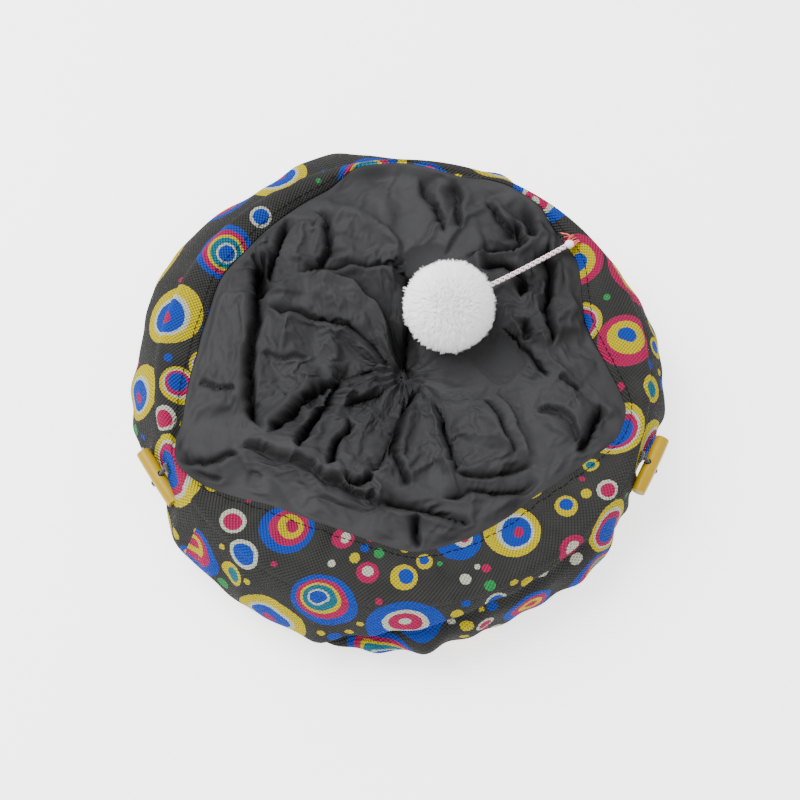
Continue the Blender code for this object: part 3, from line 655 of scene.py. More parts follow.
def wall_place(angle, degrees, share):
    """Down the outside, from the top hoop to the base hoop."""
    height = TOP_HOOP_Z + (BASE_HOOP_Z - TOP_HOOP_Z) * share
    up = 1 - share
    power = np.log(0.5) / np.log(wall_widest(degrees))
    swell = np.sin(math.pi * np.clip(up, 1e-6, 1) ** power) ** FOLD_SHARE
    fold = wall_fold(degrees) * MM
    valley = np.interp(degrees, valley_places, valley_heights) * MM
    near = np.exp(-(((height - valley) / VALLEY_WIDTH) ** 2))
    shown = smooth_step((degrees - VALLEY_START_DEG) / 12) * (
        smooth_step((VALLEY_END_DEG - degrees) / 8))
    swell = swell * (1 - VALLEY_DEPTH * near * shown)
    free = np.sin(math.pi * np.clip(up, 0, 1))
    radius = WALL_RADIUS + fold * swell
    radius = radius + free * WALL_RIPPLE * wall_ripple(angle, height)
    radius = radius + free * WALL_SWAY * wall_sway(angle, height)
    puckers = np.sin(PUCKERS * angle + PUCKER_SLANT * height)
    return radius + pinched(degrees) * free * PUCKER * puckers, height


def roll_place(turn, centre):
    return RIM_RADIUS + HEM_ROLL * np.cos(turn), centre + HEM_ROLL * np.sin(turn)


def canvas_place(angle, row):
    degrees = (np.degrees(angle) + 180) % 360 - 180
    radius = np.empty_like(angle)
    height = np.empty_like(angle)
    band, under = row < BAND_END, row > WALL_END
    roll = (row >= BAND_END) & (row < ROLL_END)
    wall = (row >= ROLL_END) & (row <= WALL_END)
    radius[band], height[band] = band_place(angle[band], degrees[band], row[band] / BAND_ROWS)
    turn = roll_start(degrees[roll]) * (1 - (row[roll] - BAND_END) / ROLL_ROWS)
    radius[roll], height[roll] = roll_place(turn, TOP_HOOP_Z)
    share = (row[wall] - ROLL_END) / WALL_ROWS
    radius[wall], height[wall] = wall_place(angle[wall], degrees[wall], share)
    share = (row[under] - WALL_END) / UNDER_ROWS
    turn = math.radians(UNDER_END_DEG) * np.clip(share * 2, 0, 1)
    curl_r, curl_z = roll_place(turn, BASE_HOOP_Z)
    inward = smooth_step(share * 2 - 1)
    radius[under] = curl_r + (UNDER_SEAM[0] - curl_r) * np.clip(share * 2 - 1, 0, 1)
    height[under] = curl_z + (UNDER_SEAM[1] - curl_z) * inward**3
    return radius, angle, height


# %% Finishing a cloth piece
CANVAS_THICK = 0.0009
EDGE_FACING = 0.3  # faces that turn further from the cloth than this are its cut edges


def store_rest(mesh):
    """Keep each point's height and the whole cloth's normals, for the cut pieces."""
    heights = read_all(mesh.vertices, "co")[:, 2].copy()
    normals = read_all(mesh.vertex_normals, "vector").ravel()
    for name, kind, key, values in (
        ("rest_height", "FLOAT", "value", heights),
        ("whole_normal", "FLOAT_VECTOR", "vector", normals),
    ):
        mesh.attributes.new(name, kind, "POINT").data.foreach_set(key, values)


def restore_normals(mesh):
    """Shade each side of the cloth as the whole cloth was, so that no cut shows."""
    smooth = read_all(mesh.attributes["whole_normal"].data, "vector")
    sides = read_all(mesh.polygons, "loop_total", 1, np.int32)
    flat = np.repeat(read_all(mesh.polygons, "normal"), sides, axis=0)
    wanted = smooth[read_all(mesh.loops, "vertex_index", 1, np.int32)]
    facing = np.sum(wanted * flat, axis=1)
    wanted[facing < 0] *= -1
    edge = np.abs(facing) < EDGE_FACING
    wanted[edge] = flat[edge]
    mesh.shade_smooth()
    mesh.normals_split_custom_set(wanted)


def dress(piece, body, finish):
    """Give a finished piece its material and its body."""
    piece.data.materials.clear()
    piece.data.materials.append(finish)
    if body:
        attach(piece, body)
    return piece


def edit(piece):
    """Open one piece for editing."""
    deselect()
    piece.select_set(True)
    bpy.context.view_layer.objects.active = piece
    bpy.ops.object.mode_set(mode="EDIT")


def cut_piece(whole, name, keep_faces, thickness):
    """Copy part of a cloth, give it its thickness and hide the cut."""
    piece = put(name, whole.data.copy())
    edit(piece)
    bpy.ops.mesh.select_mode(type="FACE")
    bpy.ops.mesh.select_all(action="DESELECT")
    bpy.ops.object.mode_set(mode="OBJECT")
    piece.data.polygons.foreach_set("select", ~keep_faces)
    bpy.ops.object.mode_set(mode="EDIT")
    bpy.ops.mesh.delete(type="FACE")
    bpy.ops.object.mode_set(mode="OBJECT")
    solid = piece.modifiers.new("thickness", "SOLIDIFY")
    solid.thickness = thickness
    solid.offset = -1.0
    bpy.ops.object.modifier_apply(modifier=solid.name)
    restore_normals(piece.data)
    return piece


def close_ring(strip):
    """Sew the first column to the last."""
    edit(strip)
    bpy.ops.mesh.select_all(action="SELECT")
    bpy.ops.mesh.remove_doubles(threshold=1e-6)
    bpy.ops.object.mode_set(mode="OBJECT")


# %% Make the canvas
PRINT_RADIUS = 0.117  # sets how wide the print runs for each degree
HEM_WALL_ROWS = 5
BASE_WALL_ROWS = 5

canvas, flat, _, points = roll_strip(
    "canvas", CANVAS_COLUMNS, CANVAS_ROWS, True, canvas_place)
grid = points.reshape(CANVAS_ROWS + 1, CANVAS_COLUMNS + 1, 3)
steps = np.linalg.norm(np.diff(grid, axis=0), axis=2)
length = np.concatenate((np.zeros((1, steps.shape[1])), np.cumsum(steps, axis=0)))
length = length - length[BAND_END]
corner = read_all(canvas.data.loops, "vertex_index", 1, np.int32)
print_place = np.stack((
    flat[corner, 0] * 2 * math.pi * PRINT_RADIUS, length.ravel()[corner],
), axis=1)
canvas.data.uv_layers.active.data.foreach_set("uv", print_place.ravel())
face_row = np.arange(len(canvas.data.polygons)) // CANVAS_COLUMNS
close_ring(canvas)
store_rest(canvas.data)

split_top = ROLL_END + HEM_WALL_ROWS
split_base = WALL_END - BASE_WALL_ROWS
top_cloth = cut_piece(canvas, "top_hem_cloth", face_row < split_top, CANVAS_THICK)
sleeve_cloth = cut_piece(
    canvas, "sleeve_cloth", (face_row >= split_top) & (face_row < split_base), CANVAS_THICK)
base_cloth = cut_piece(canvas, "base_hem_cloth", face_row >= split_base, CANVAS_THICK)
dress(top_cloth, "top", CANVAS_FINISH)
dress(sleeve_cloth, None, CANVAS_FINISH)
dress(base_cloth, "base", CANVAS_FINISH)
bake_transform(sleeve_cloth)
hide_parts("top_hem")
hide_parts("outer_sleeve")
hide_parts("base_hem")
bpy.data.objects.remove(canvas)

# %% [markdown]
# The lining is loose nylon, pushed together as the tunnel is folded, so it fills the mouth
# with lobes and creases that run to a dark neck. The large ones are drawn as lines over
# the photograph and set on the heap's surface: a valley, a ridge, or a flap whose edge
# falls off on one side. Each fold also gives a painted shade for the light that it keeps
# out, which is stored on the cloth as an attribute and darkens the nylon's colour. The
# smaller folds are sums of creased waves that fade in and out, and fine pleats that run
# into the neck.

# %% The lining's heap
NECK = seen_at(402, 372, 0.038)
NECK_RADIUS = 0.0005
LINER_COLUMNS = 600
LINER_ROWS = 168
# The heap's height from the seam (0) to the neck (1), in millimetres.
DISH = (
    (0.0, 49.0), (0.06, 49.6), (0.2, 49.0), (0.4, 46.5), (0.6, 43.0), (0.8, 37.5),
    (0.92, 33.5), (1.0, 31.0),
)
OVER_HOOP = 0.0045  # how far the lining needs to come down from a seam on the hoop
VALLEY, RIDGE, FLAP = "valley", "ridge", "flap"
# Kind, height and width in millimetres, then the line's pixels in the photograph. A flap's
# high side lies to the left of its line, seen along it.
FOLDS = (
    # The left strip and the deep valley beside it, then the folds above it.
    (VALLEY, 10, 3.4, ((252, 248), (257, 275), (254, 300), (256, 322), (249, 359), (249, 390),
                       (250, 415), (262, 446))),
    (RIDGE, 3, 14.0, ((228, 270), (232, 320), (226, 380), (222, 430))),
    (VALLEY, 9, 4.0, ((287, 212), (284, 236), (275, 264), (269, 292))),
    (VALLEY, 12, 7.0, ((262, 262), (264, 285), (262, 304))),
    (RIDGE, 3, 5.0, ((262, 230), (268, 252), (266, 270))),
    (VALLEY, 7, 3.0, ((313, 212), (325, 224), (330, 240), (326, 256), (316, 267), (300, 280))),
    (RIDGE, 4, 12.0, ((300, 226), (303, 245), (290, 268))),
    # The large puff at the top and the valley under it.
    (RIDGE, 5, 24.0, ((340, 210), (370, 240), (400, 235))),
    (VALLEY, 10, 4.5, ((296, 284), (318, 275), (340, 271), (364, 270), (392, 270), (413, 258))),
    (VALLEY, 15, 7.0, ((406, 262), (404, 300), (402, 340), (402, 376))),
    # The arc of the large flap, its lower edge and the panel below.
    (FLAP, 9, 13.0, ((396, 384), (393, 352), (387, 326), (374, 306), (358, 295), (340, 287),
                     (320, 286), (300, 289))),
    (RIDGE, 4, 9.0, ((268, 308), (290, 303), (320, 303), (350, 312), (374, 334))),
    (VALLEY, 9, 3.0, ((258, 310), (279, 318), (310, 321), (333, 325), (350, 327), (364, 338),
                      (379, 352), (391, 370))),
    (RIDGE, 4, 13.0, ((272, 340), (310, 345), (345, 352))),
    (VALLEY, 3, 2.2, ((256, 357), (284, 360), (312, 357))),
    (VALLEY, 11, 4.0, ((380, 360), (364, 372), (342, 376), (335, 388), (331, 398))),
    (VALLEY, 7, 3.0, ((384, 384), (364, 388), (350, 398), (340, 410))),
    # Folds that fan out from the neck to the lower left.
    (VALLEY, 10, 4.0, ((334, 384), (320, 394), (304, 404), (292, 416), (278, 432), (264, 446))),
    (VALLEY, 10, 3.4, ((338, 386), (326, 406), (313, 424), (304, 434), (299, 450), (296, 466))),
    (RIDGE, 4, 4.0, ((352, 384), (335, 408), (319, 432), (311, 452))),
    (VALLEY, 9, 3.0, ((348, 416), (342, 438), (330, 457), (327, 476))),
    (VALLEY, 5, 2.4, ((312, 384), (296, 396), (280, 404))),
    (RIDGE, 4, 9.0, ((376, 400), (364, 430), (353, 462), (348, 476))),
    (VALLEY, 14, 3.6, ((402, 402), (396, 423), (387, 443), (381, 461), (374, 484))),
    (VALLEY, 8, 3.0, ((378, 483), (364, 488), (350, 484), (344, 476))),
    (VALLEY, 10, 4.5, ((426, 372), (414, 388), (406, 405), (396, 440), (388, 466))),
    # The smooth flap along the lower left and its creases at the fastened corner.
    (FLAP, 9, 12.0, ((232, 454), (246, 446), (262, 450), (277, 461), (296, 467), (314, 473),
                     (332, 482), (346, 488), (362, 498), (377, 506), (402, 513))),
    (VALLEY, 6, 2.6, ((178, 466), (204, 470), (224, 464), (240, 455))),
    (VALLEY, 3, 2.0, ((186, 474), (206, 480), (224, 480))),
    (VALLEY, 4, 2.0, ((201, 383), (222, 391), (240, 399))),
    (VALLEY, 2, 3.0, ((246, 476), (256, 475), (264, 478))),
    # The broad panel right of the middle, with its straight edge.
    (RIDGE, 4, 3.0, ((427, 386), (431, 420), (442, 453), (451, 478), (459, 502))),
    (VALLEY, 8, 2.8, ((434, 400), (439, 430), (450, 458), (458, 482))),
    (VALLEY, 6, 3.0, ((392, 452), (402, 476), (413, 488))),
    (RIDGE, 5, 24.0, ((466, 405), (496, 430), (486, 452))),
    (VALLEY, 9, 3.4, ((374, 504), (397, 511), (418, 513), (435, 517), (452, 526), (476, 530))),
    (VALLEY, 8, 2.2, ((420, 516), (419, 535), (418, 556))),
    (VALLEY, 6, 3.0, ((455, 478), (480, 481), (506, 477), (534, 470))),
    (VALLEY, 7, 4.0, ((440, 504), (470, 494), (505, 500), (540, 486))),
    (RIDGE, 4, 3.0, ((488, 392), (506, 411), (514, 436), (526, 463), (529, 472))),
    (VALLEY, 5, 2.6, ((480, 400), (498, 420), (506, 444), (514, 462))),
    # Folds at the right.
    (FLAP, 6, 7.0, ((530, 414), (547, 411), (562, 415), (572, 425), (577, 442), (570, 452))),
    (VALLEY, 9, 5.0, ((572, 456), (588, 436), (600, 408))),
    (RIDGE, 6, 5.0, ((497, 313), (516, 325), (538, 345), (553, 370), (568, 394), (582, 424))),
    (VALLEY, 9, 4.0, ((500, 328), (518, 345), (534, 364), (546, 384))),
    (RIDGE, 6, 3.6, ((542, 272), (546, 287), (538, 305), (541, 323), (544, 348), (546, 358))),
    (RIDGE, 5, 3.4, ((498, 313), (522, 308), (538, 305))),
    (VALLEY, 8, 3.0, ((526, 318), (530, 335), (532, 348))),
    (VALLEY, 12, 4.4, ((549, 240), (553, 268), (551, 296), (547, 330), (550, 356))),
    (RIDGE, 3, 8.0, ((566, 270), (570, 310), (566, 350))),
    (VALLEY, 5, 2.6, ((556, 381), (566, 388), (580, 396))),
    # The flap at the upper right, the hollow under it and the creases above.
    (FLAP, 9, 14.0, ((520, 222), (525, 246), (514, 255), (500, 254), (486, 256), (468, 262))),
    (VALLEY, 12, 9.0, ((478, 270), (504, 268), (526, 282), (520, 300))),
    (VALLEY, 6, 3.0, ((417, 182), (424, 198), (438, 223), (446, 238))),
    (VALLEY, 6, 3.0, ((454, 184), (461, 204), (462, 234))),
    (VALLEY, 6, 3.0, ((486, 206), (500, 222), (518, 240))),
    (VALLEY, 8, 4.0, ((520, 200), (530, 222), (534, 246))),
    (RIDGE, 4, 16.0, ((432, 232), (452, 246))),
)
EDGE_WIDTH = 0.0016  # over which a flap's edge falls
DARKEST_DEPTH = 0.011  # a fold as deep as this is painted black at its bottom
LINE_STRAY, STRAY_SIZE = 0.0011, 0.017  # so that no fold is an even curve
FOLD_FADE = 0.16  # share of its line over which a fold starts, and ends
VALLEY_GAIN = 1.15
LIP_HIGH, LIP_WIDE = 0.42, 3.2  # beside a valley, in heights and widths
LIP_DEEP, LIP_STEEP = 1.42, 0.32
SHEET_WIDE = 1.15  # the valley's gentler side
FLAP_HIGH, FLAP_WIDE = 0.62, 1.1
FLAP_LOW, FLAP_FOOT = 0.55, 0.45
HEAP_Z = 0.046


def line_distance(points, line):
    """Distance to a line of points, the side of it, and how far along it that is."""
    best = np.full(len(points), 9.0)
    side = np.zeros(len(points))
    along = np.zeros(len(points))
    starts, ends = line[:-1], line[1:]
    total = np.linalg.norm(ends - starts, axis=1).sum()
    walked = 0.0
    for start, end in zip(starts, ends):
        way = end - start
        size = np.linalg.norm(way)
        offset = points - start
        share = np.clip(offset @ way / size**2, 0, 1)
        gap = np.linalg.norm(offset - share[:, None] * way, axis=1)
        closer = gap < best
        cross = way[0] * offset[:, 1] - way[1] * offset[:, 0]
        side[closer] = np.sign(cross[closer])
        along[closer] = (walked + share[closer] * size) / total
        best = np.minimum(best, gap)
        walked += size
    return best, side, along


def drift(points, seed, size):
    """Smooth, wandering values from -1 to 1 across the plan, as sums of plane waves."""
    draw = np.random.default_rng(seed)
    total = np.zeros(len(points))
    for turn, phase, scale in zip(
        draw.uniform(0, math.pi, 6), draw.uniform(0, 2 * math.pi, 6), draw.uniform(0.7, 1.5, 6)
    ):
        way = np.array((math.cos(turn), math.sin(turn))) * 2 * math.pi / (size * scale)
        total += np.sin(points @ way + phase)
    return total / 3.0


def fold_shape(points, kind, height, width, pixels):
    """What one fold adds to the heap's height, and the painted shade that it puts on the
    colour.
    """
    line = np.array([seen_at(x, y, HEAP_Z).xy for x, y in pixels])
    strayed = points + LINE_STRAY * np.stack(
        [drift(points, seed, STRAY_SIZE) for seed in (71, 73)], axis=1)
    away, side, along = line_distance(strayed, line)
    fade = smooth_step(along / FOLD_FADE) * smooth_step((1 - along) / FOLD_FADE)
    height, width = height * MM, width * MM
    depth = np.clip(height / DARKEST_DEPTH, 0, 1) * fade
    if kind == VALLEY:
        width = width * (0.30 + 0.70 * fade)
        lip = LIP_HIGH * np.exp(-away / (LIP_WIDE * width))
        lip = lip - LIP_DEEP * np.exp(-away / (LIP_STEEP * width))
        sheet = -np.exp(-away / (SHEET_WIDE * width))
        steep_side = 1 if len(pixels) % 2 else -1
        section = np.where(side == steep_side, lip, sheet)
        # Painted shade in the valley, darkest at its bottom.
        shade = 0.80 * np.exp(-((away / (0.36 * width)) ** 2))
        shade = shade + 0.38 * np.exp(-away / (1.8 * width))
        return VALLEY_GAIN * height * fade * section, depth * shade
    if kind == RIDGE:
        return height * fade * np.exp(-((away / width) ** 1.2)), 0.0
    high = FLAP_HIGH * np.exp(-((away / (FLAP_WIDE * width)) ** 2))
    low = -FLAP_LOW * np.exp(-away / (FLAP_FOOT * width))
    step = smooth_step(0.5 + away * side / EDGE_WIDTH)
    # Painted shade below a flap's edge.
    shade = (1 - step) * np.exp(-away / (0.32 * width))
    return height * fade * (low + (high - low) * step), depth * shade


def liner_place(angle, row):
    """The plan of the lining: straight lines from the seam to the neck."""
    share = row / LINER_ROWS
    rim = seam_radius(np.degrees(angle)) * MM
    start_x, start_y = rim * np.cos(angle), rim * np.sin(angle)
    end_x = NECK.x + NECK_RADIUS * np.cos(angle)
    end_y = NECK.y + NECK_RADIUS * np.sin(angle)
    x = start_x + (end_x - start_x) * share
    y = start_y + (end_y - start_y) * share
    height = np.interp(share, *zip(*DISH)) * MM
    start_z = seam_level(np.degrees(angle)) - 0.0007
    walked = np.hypot(x - start_x, y - start_y)
    height = height + (start_z - DISH[0][1] * MM) * np.exp(-((walked / OVER_HOOP) ** 2))
    return np.hypot(x, y), np.arctan2(y, x), height


def creases(points, seed, count, least, most, steep):
    """Crumpled cloth: straight creases with flat facets, each set fading in and out."""
    draw = np.random.default_rng(seed)
    total = np.zeros(len(points))
    for number in range(count):
        turn, size, phase = draw.uniform(0, math.pi), draw.uniform(least, most), draw.random()
        way = np.array((math.cos(turn), math.sin(turn)))
        spot = points @ way / size + phase + 0.22 * drift(points, seed + number, 3.0 * size)
        wave = np.arcsin(0.985 * np.sin(2 * math.pi * spot)) * 2 / math.pi
        shown = smooth_step(1.3 * drift(points, 100 + seed + number, 2.5 * size))
        total += steep * size * wave * shown
    return total


def pleats(points, count, reach, depth):
    """Fine folds that run into the neck and fade with their distance from it."""
    x, y = points[:, 0] - NECK.x, points[:, 1] - NECK.y
    away = np.hypot(x, y)
    turn = np.arctan2(y, x) * count + 1.6 * drift(points, 61, 0.030)
    wave = np.arcsin(0.97 * np.sin(turn)) * 2 / math.pi
    return depth * wave * smooth_step(away / 0.007) * smooth_step((reach - away) / reach)


# %% Make the lining's heap
POMPOM_MIDDLE = (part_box("pompom")[0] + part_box("pompom")[1]) / 2
NEST_RADIUS = 0.0235
NEST_ROOM = 0.0008
SWUNG_RADIUS = 0.0205  # the pompom without the tips of its fur
POMPOM_KNOT = np.array((0.09028, 0.07181))  # where its cord is sewn on
SWINGS = np.radians(np.arange(-25, 26, 2.5))
FREE_AT_SEAM, FREE_AT_NECK = 0.07, 0.06  # the folds grow over these shares of the way


def pressed_by_pompom(points, height):
    """The heap gives way below the pompom, and less so where it swings to either side."""
    arm = POMPOM_MIDDLE[:2] - POMPOM_KNOT
    for swing in SWINGS:
        turned = np.array((arm[0] * np.cos(swing) - arm[1] * np.sin(swing),
                           arm[0] * np.sin(swing) + arm[1] * np.cos(swing)))
        reach = NEST_RADIUS if abs(swing) < 0.01 else SWUNG_RADIUS
        away = np.hypot(*(points[:, :2] - POMPOM_KNOT - turned).T)
        ball = POMPOM_MIDDLE[2] - np.sqrt(np.maximum(reach**2 - away**2, 0)) - NEST_ROOM
        height = np.where(away < 0.9 * reach, np.minimum(height, ball), height)
    return height


liner, _, liner_row, liner_points = roll_strip(
    "liner", LINER_COLUMNS, LINER_ROWS, False, liner_place)
plan, dish = liner_points[:, :2], liner_points[:, 2].copy()
edge_share = liner_row / LINER_ROWS
free = smooth_step(edge_share / FREE_AT_SEAM) * smooth_step((1 - edge_share) / FREE_AT_NECK)
heap, painted_fold_shade = (sum(part) for part in zip(*(fold_shape(plan, *fold) for fold in FOLDS)))
heap = heap + creases(plan, 11, 9, 0.018, 0.044, 0.046)
crushed = creases(plan, 51, 12, 0.007, 0.016, 0.015) + pleats(plan, 17, 0.050, 0.0012)
liner_points[:, 2] = pressed_by_pompom(plan, dish + free * (heap + crushed))
liner.data.vertices.foreach_set("co", liner_points.ravel())
# The folds' painted shade, stored on the cloth for the nylon's colour.
painted_shades = liner.data.attributes.new("painted_fold_shade", "FLOAT", "POINT")
painted_shades.data.foreach_set("value", np.clip(painted_fold_shade * free, 0, 1))
print("lining heap from", round(liner_points[:, 2].min() * 1000, 1), "to",
      round(liner_points[:, 2].max() * 1000, 1), "mm high")

# %% [markdown]
# The nylon is longer and wider than the place that it lies in. A short cloth simulation
# lets it settle over the heap with that slack, which makes the real folds of thin cloth.
# It runs at ten times the size, where the solver is steady, on every third column and
# row. The fine cloth then follows the coarse one, and the small folds go on top.

# %% Let the lining settle
SIM_SIZE = 10.0
SIM_STEP = 3
SLACK = 1.105  # the cloth's length, as a share of the place that it lies in
SIM_FRAMES = 24
SUPPORT_DROP = 0.0030


def closed_cloth(name, points):
    """A ring of cloth through a grid of rows by columns."""
    number = np.arange(points.shape[0] * points.shape[1]).reshape(points.shape[:2])
    beside = np.roll(number, -1, axis=1)
    faces = np.stack((number[:-1], beside[:-1], beside[1:], number[1:]), axis=-1)
    mesh = bpy.data.meshes.new(name)
    mesh.from_pydata(points.reshape(-1, 3).tolist(), [], faces.reshape(-1, 4).tolist())
    return put(name, mesh)


def settle(points):
    """Drape the slack cloth over a lower copy of itself."""
    cloth = closed_cloth("slack cloth", points * SIM_SIZE)
    under = closed_cloth("support", (points - np.array((0, 0, SUPPORT_DROP))) * SIM_SIZE)
    under.modifiers.new("collision", "COLLISION")
    under.collision.thickness_outer = 0.01
    bpy.ops.mesh.primitive_uv_sphere_add(segments=32, ring_count=16,
                                         radius=(NEST_RADIUS - NEST_ROOM) * SIM_SIZE,
                                         location=tuple(POMPOM_MIDDLE * SIM_SIZE))
    ball = bpy.context.object
    ball.modifiers.new("collision", "COLLISION")
    cloth.shape_key_add(name="start")
    rest = cloth.shape_key_add(name="rest")
    rest.data.foreach_set("co", (points * SIM_SIZE * SLACK).ravel())
    held = cloth.vertex_groups.new(name="held")
    count, columns = len(cloth.data.vertices), points.shape[1]
    held.add([*range(columns), *range(count - columns, count)], 1.0, "REPLACE")
    cloth_modifier = cloth.modifiers.new("cloth", "CLOTH")
    solver = cloth_modifier.settings
    solver.quality = 7
    solver.mass = 0.15
    solver.tension_stiffness = solver.compression_stiffness = 60
    solver.shear_stiffness = 40
    solver.bending_stiffness = 0.08
    solver.tension_damping = solver.compression_damping = 10
    solver.shear_damping = 10
    solver.bending_damping = 0.5
    solver.air_damping = 2.0
    solver.vertex_group_mass = "held"
    solver.rest_shape_key = rest
    cloth_modifier.collision_settings.use_self_collision = False
    cloth_modifier.collision_settings.distance_min = 0.01
    scene = bpy.context.scene
    scene.frame_end = SIM_FRAMES
    cloth_modifier.point_cache.frame_end = SIM_FRAMES
    for frame_number in range(1, SIM_FRAMES + 1):
        scene.frame_set(frame_number)
    view_of = cloth.evaluated_get(bpy.context.evaluated_depsgraph_get())
    settled = read_all(view_of.data.vertices, "co").reshape(points.shape) / SIM_SIZE
    for helper in (under, ball, cloth):
        bpy.data.objects.remove(helper)
    scene.frame_set(1)
    return settled


def finer(values, step, axis, ring):
    """Values between those of a grid, on smooth curves along one axis."""
    values = np.moveaxis(values, axis, 0)
    before, after = np.roll(values, 1, axis=0), np.roll(values, -1, axis=0)
    later = np.roll(values, -2, axis=0)
    if not ring:
        before[0] = values[0]
        after[-1] = later[-1] = values[-1]
        later[-2] = values[-1]
    found = []
    for part in np.arange(step) / step:
        found.append(values + 0.5 * part * (after - before + part * (
            2 * before - 5 * values + 4 * after - later
            + part * (3 * (values - after) + later - before))))
    found = np.stack(found, axis=1).reshape(-1, *values.shape[1:])
    return np.moveaxis(found if ring else found[:1 - step or None], 0, axis)


start_grid = liner_points.copy()
start_grid[:, 2] = pressed_by_pompom(plan, dish + free * heap)
start_grid = start_grid.reshape(LINER_ROWS + 1, -1, 3)[:, :LINER_COLUMNS]
coarse = start_grid[::SIM_STEP, ::SIM_STEP]
moved = settle(coarse) - coarse
moved = finer(finer(moved, SIM_STEP, 0, False), SIM_STEP, 1, True)
moved = np.concatenate((moved, moved[:, :1]), axis=1).reshape(-1, 3)
settled = np.concatenate((start_grid, start_grid[:, :1]), axis=1).reshape(-1, 3) + moved
settled[:, 2] += free * crushed
settled[:, 2] = pressed_by_pompom(settled[:, :2], settled[:, 2])
liner.data.vertices.foreach_set("co", settled.ravel())
print("settled from", round(settled[:, 2].min() * 1000, 1), "to",
      round(settled[:, 2].max() * 1000, 1), "mm high")
close_ring(liner)
store_rest(liner.data)

# %% [markdown]
# When the tunnel opens, the lining is pulled straight against the wall. A heap can't do
# that as one piece, so it is cut into gores. The cuts don't show, because the gores keep
# the whole cloth's normals.

# %% Gores of the lining
GORES = 12
NYLON_THICK = 0.0004
LINING_FULLNESS = 1.5  # the cut cloth, as a share of the place in plan that it lies in


def gore_cut(points, rows, first, count, fullness):
    """The width, length and area that a gore was cut to: its place in plan, made fuller."""
    plan_of = points.reshape(rows + 1, -1, 3)[:, first:first + count + 1, :2]
    rim, neck = plan_of[0], plan_of[-1].mean(axis=0)
    spokes = rim - neck
    wedges = np.abs(spokes[:-1, 0] * spokes[1:, 1] - spokes[:-1, 1] * spokes[1:, 0]) / 2
    width = np.linalg.norm(np.diff(rim, axis=0), axis=1).sum()
    long = np.linalg.norm(spokes, axis=1).mean()
    grown = math.sqrt(fullness)
    return (float(width * grown), float(long * grown)), float(wedges.sum() * fullness)


def cut_gores(whole, points, rows, name, body, fullness):
    """Cut a ring of cloth into gores and give back the area that each was cut to."""
    columns = len(whole.data.polygons) // rows
    each = columns // GORES
    column = np.arange(len(whole.data.polygons)) % columns
    areas = []
    for number in range(GORES):
        gore = cut_piece(whole, f"{name}_{number + 1}", column // each == number, NYLON_THICK)
        dress(gore, body, NYLON_FINISH)
        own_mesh(gore)
        flat, area = gore_cut(points, rows, number * each, each, fullness)
        areas.append(area)
    bpy.data.objects.remove(whole)
    return areas


cut_areas = cut_gores(liner, liner_points, LINER_ROWS, "lining_gore", "top",
                      LINING_FULLNESS)
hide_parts("inner_liner")
print(GORES, "gores, cut from", round(sum(cut_areas) * 1e4), "square cm")

# %% [markdown]
# Inside, a straight nylon wall follows the spring between the hoops, and a plain layer
# closes the lining from below. Both are seen when the tunnel is opened or turned over.

# %% Inner wall and lower layer
INNER_WALL_RADIUS = 0.1205
INNER_WALL = (0.0075, 0.0465)
INNER_COLUMNS, INNER_ROWS = 192, 24
UNDER_COLUMNS, UNDER_GORE_ROWS = 240, 26
UNDER_START = (0.1046, 0.0052)
UNDER_NECK = (0.004, 0.0150)
UNDER_FULLNESS = 1.06
inner_ripple = ripples(21, 6, (8, 40), 90.0)


def inner_wall_place(angle, row):
    share = row / INNER_ROWS
    height = INNER_WALL[0] + (INNER_WALL[1] - INNER_WALL[0]) * share
    return INNER_WALL_RADIUS - 0.0009 * (1 + inner_ripple(angle, height)), angle, height


def under_place(angle, row):
    share = row / UNDER_GORE_ROWS
    radius = UNDER_START[0] + (UNDER_NECK[0] - UNDER_START[0]) * share
    sway = 0.5 + 0.5 * np.sin(20 * angle + 2.5 * np.sin(3 * angle) + 3 * share)
    lift = 0.0035 * sway * np.sin(math.pi * share) ** 0.7
    return radius, angle, UNDER_START[1] + (UNDER_NECK[1] - UNDER_START[1]) * share**3 + lift


inner_wall, *_ = roll_strip("lining_wall_whole", INNER_COLUMNS, INNER_ROWS, False,
                            inner_wall_place)
close_ring(inner_wall)
store_rest(inner_wall.data)
wall_faces = np.ones(len(inner_wall.data.polygons), dtype=bool)
lining_wall = cut_piece(inner_wall, "lining_wall", wall_faces, NYLON_THICK)
bpy.data.objects.remove(inner_wall)
dress(lining_wall, None, NYLON_FINISH)
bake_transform(lining_wall)

under, _, _, under_points = roll_strip(
    "under_whole", UNDER_COLUMNS, UNDER_GORE_ROWS, True, under_place)
close_ring(under)
store_rest(under.data)
cut_gores(under, under_points, UNDER_GORE_ROWS, "lower_gore", "base",
          UNDER_FULLNESS)
print("inner wall and", GORES, "lower gores")

# %% [markdown]
# Thread, cord, braid and fur are all thin tubes, so one helper makes any number of them
# from their middle lines and radii, with closed ends.

# %% Tubes
def unit(ways):
    return ways / np.linalg.norm(ways, axis=-1, keepdims=True)


def distance_along(line):
    """How far along a line each of its points lies."""
    gaps = np.linalg.norm(np.diff(line, axis=0), axis=1)
    return np.concatenate(((0,), np.cumsum(gaps)))


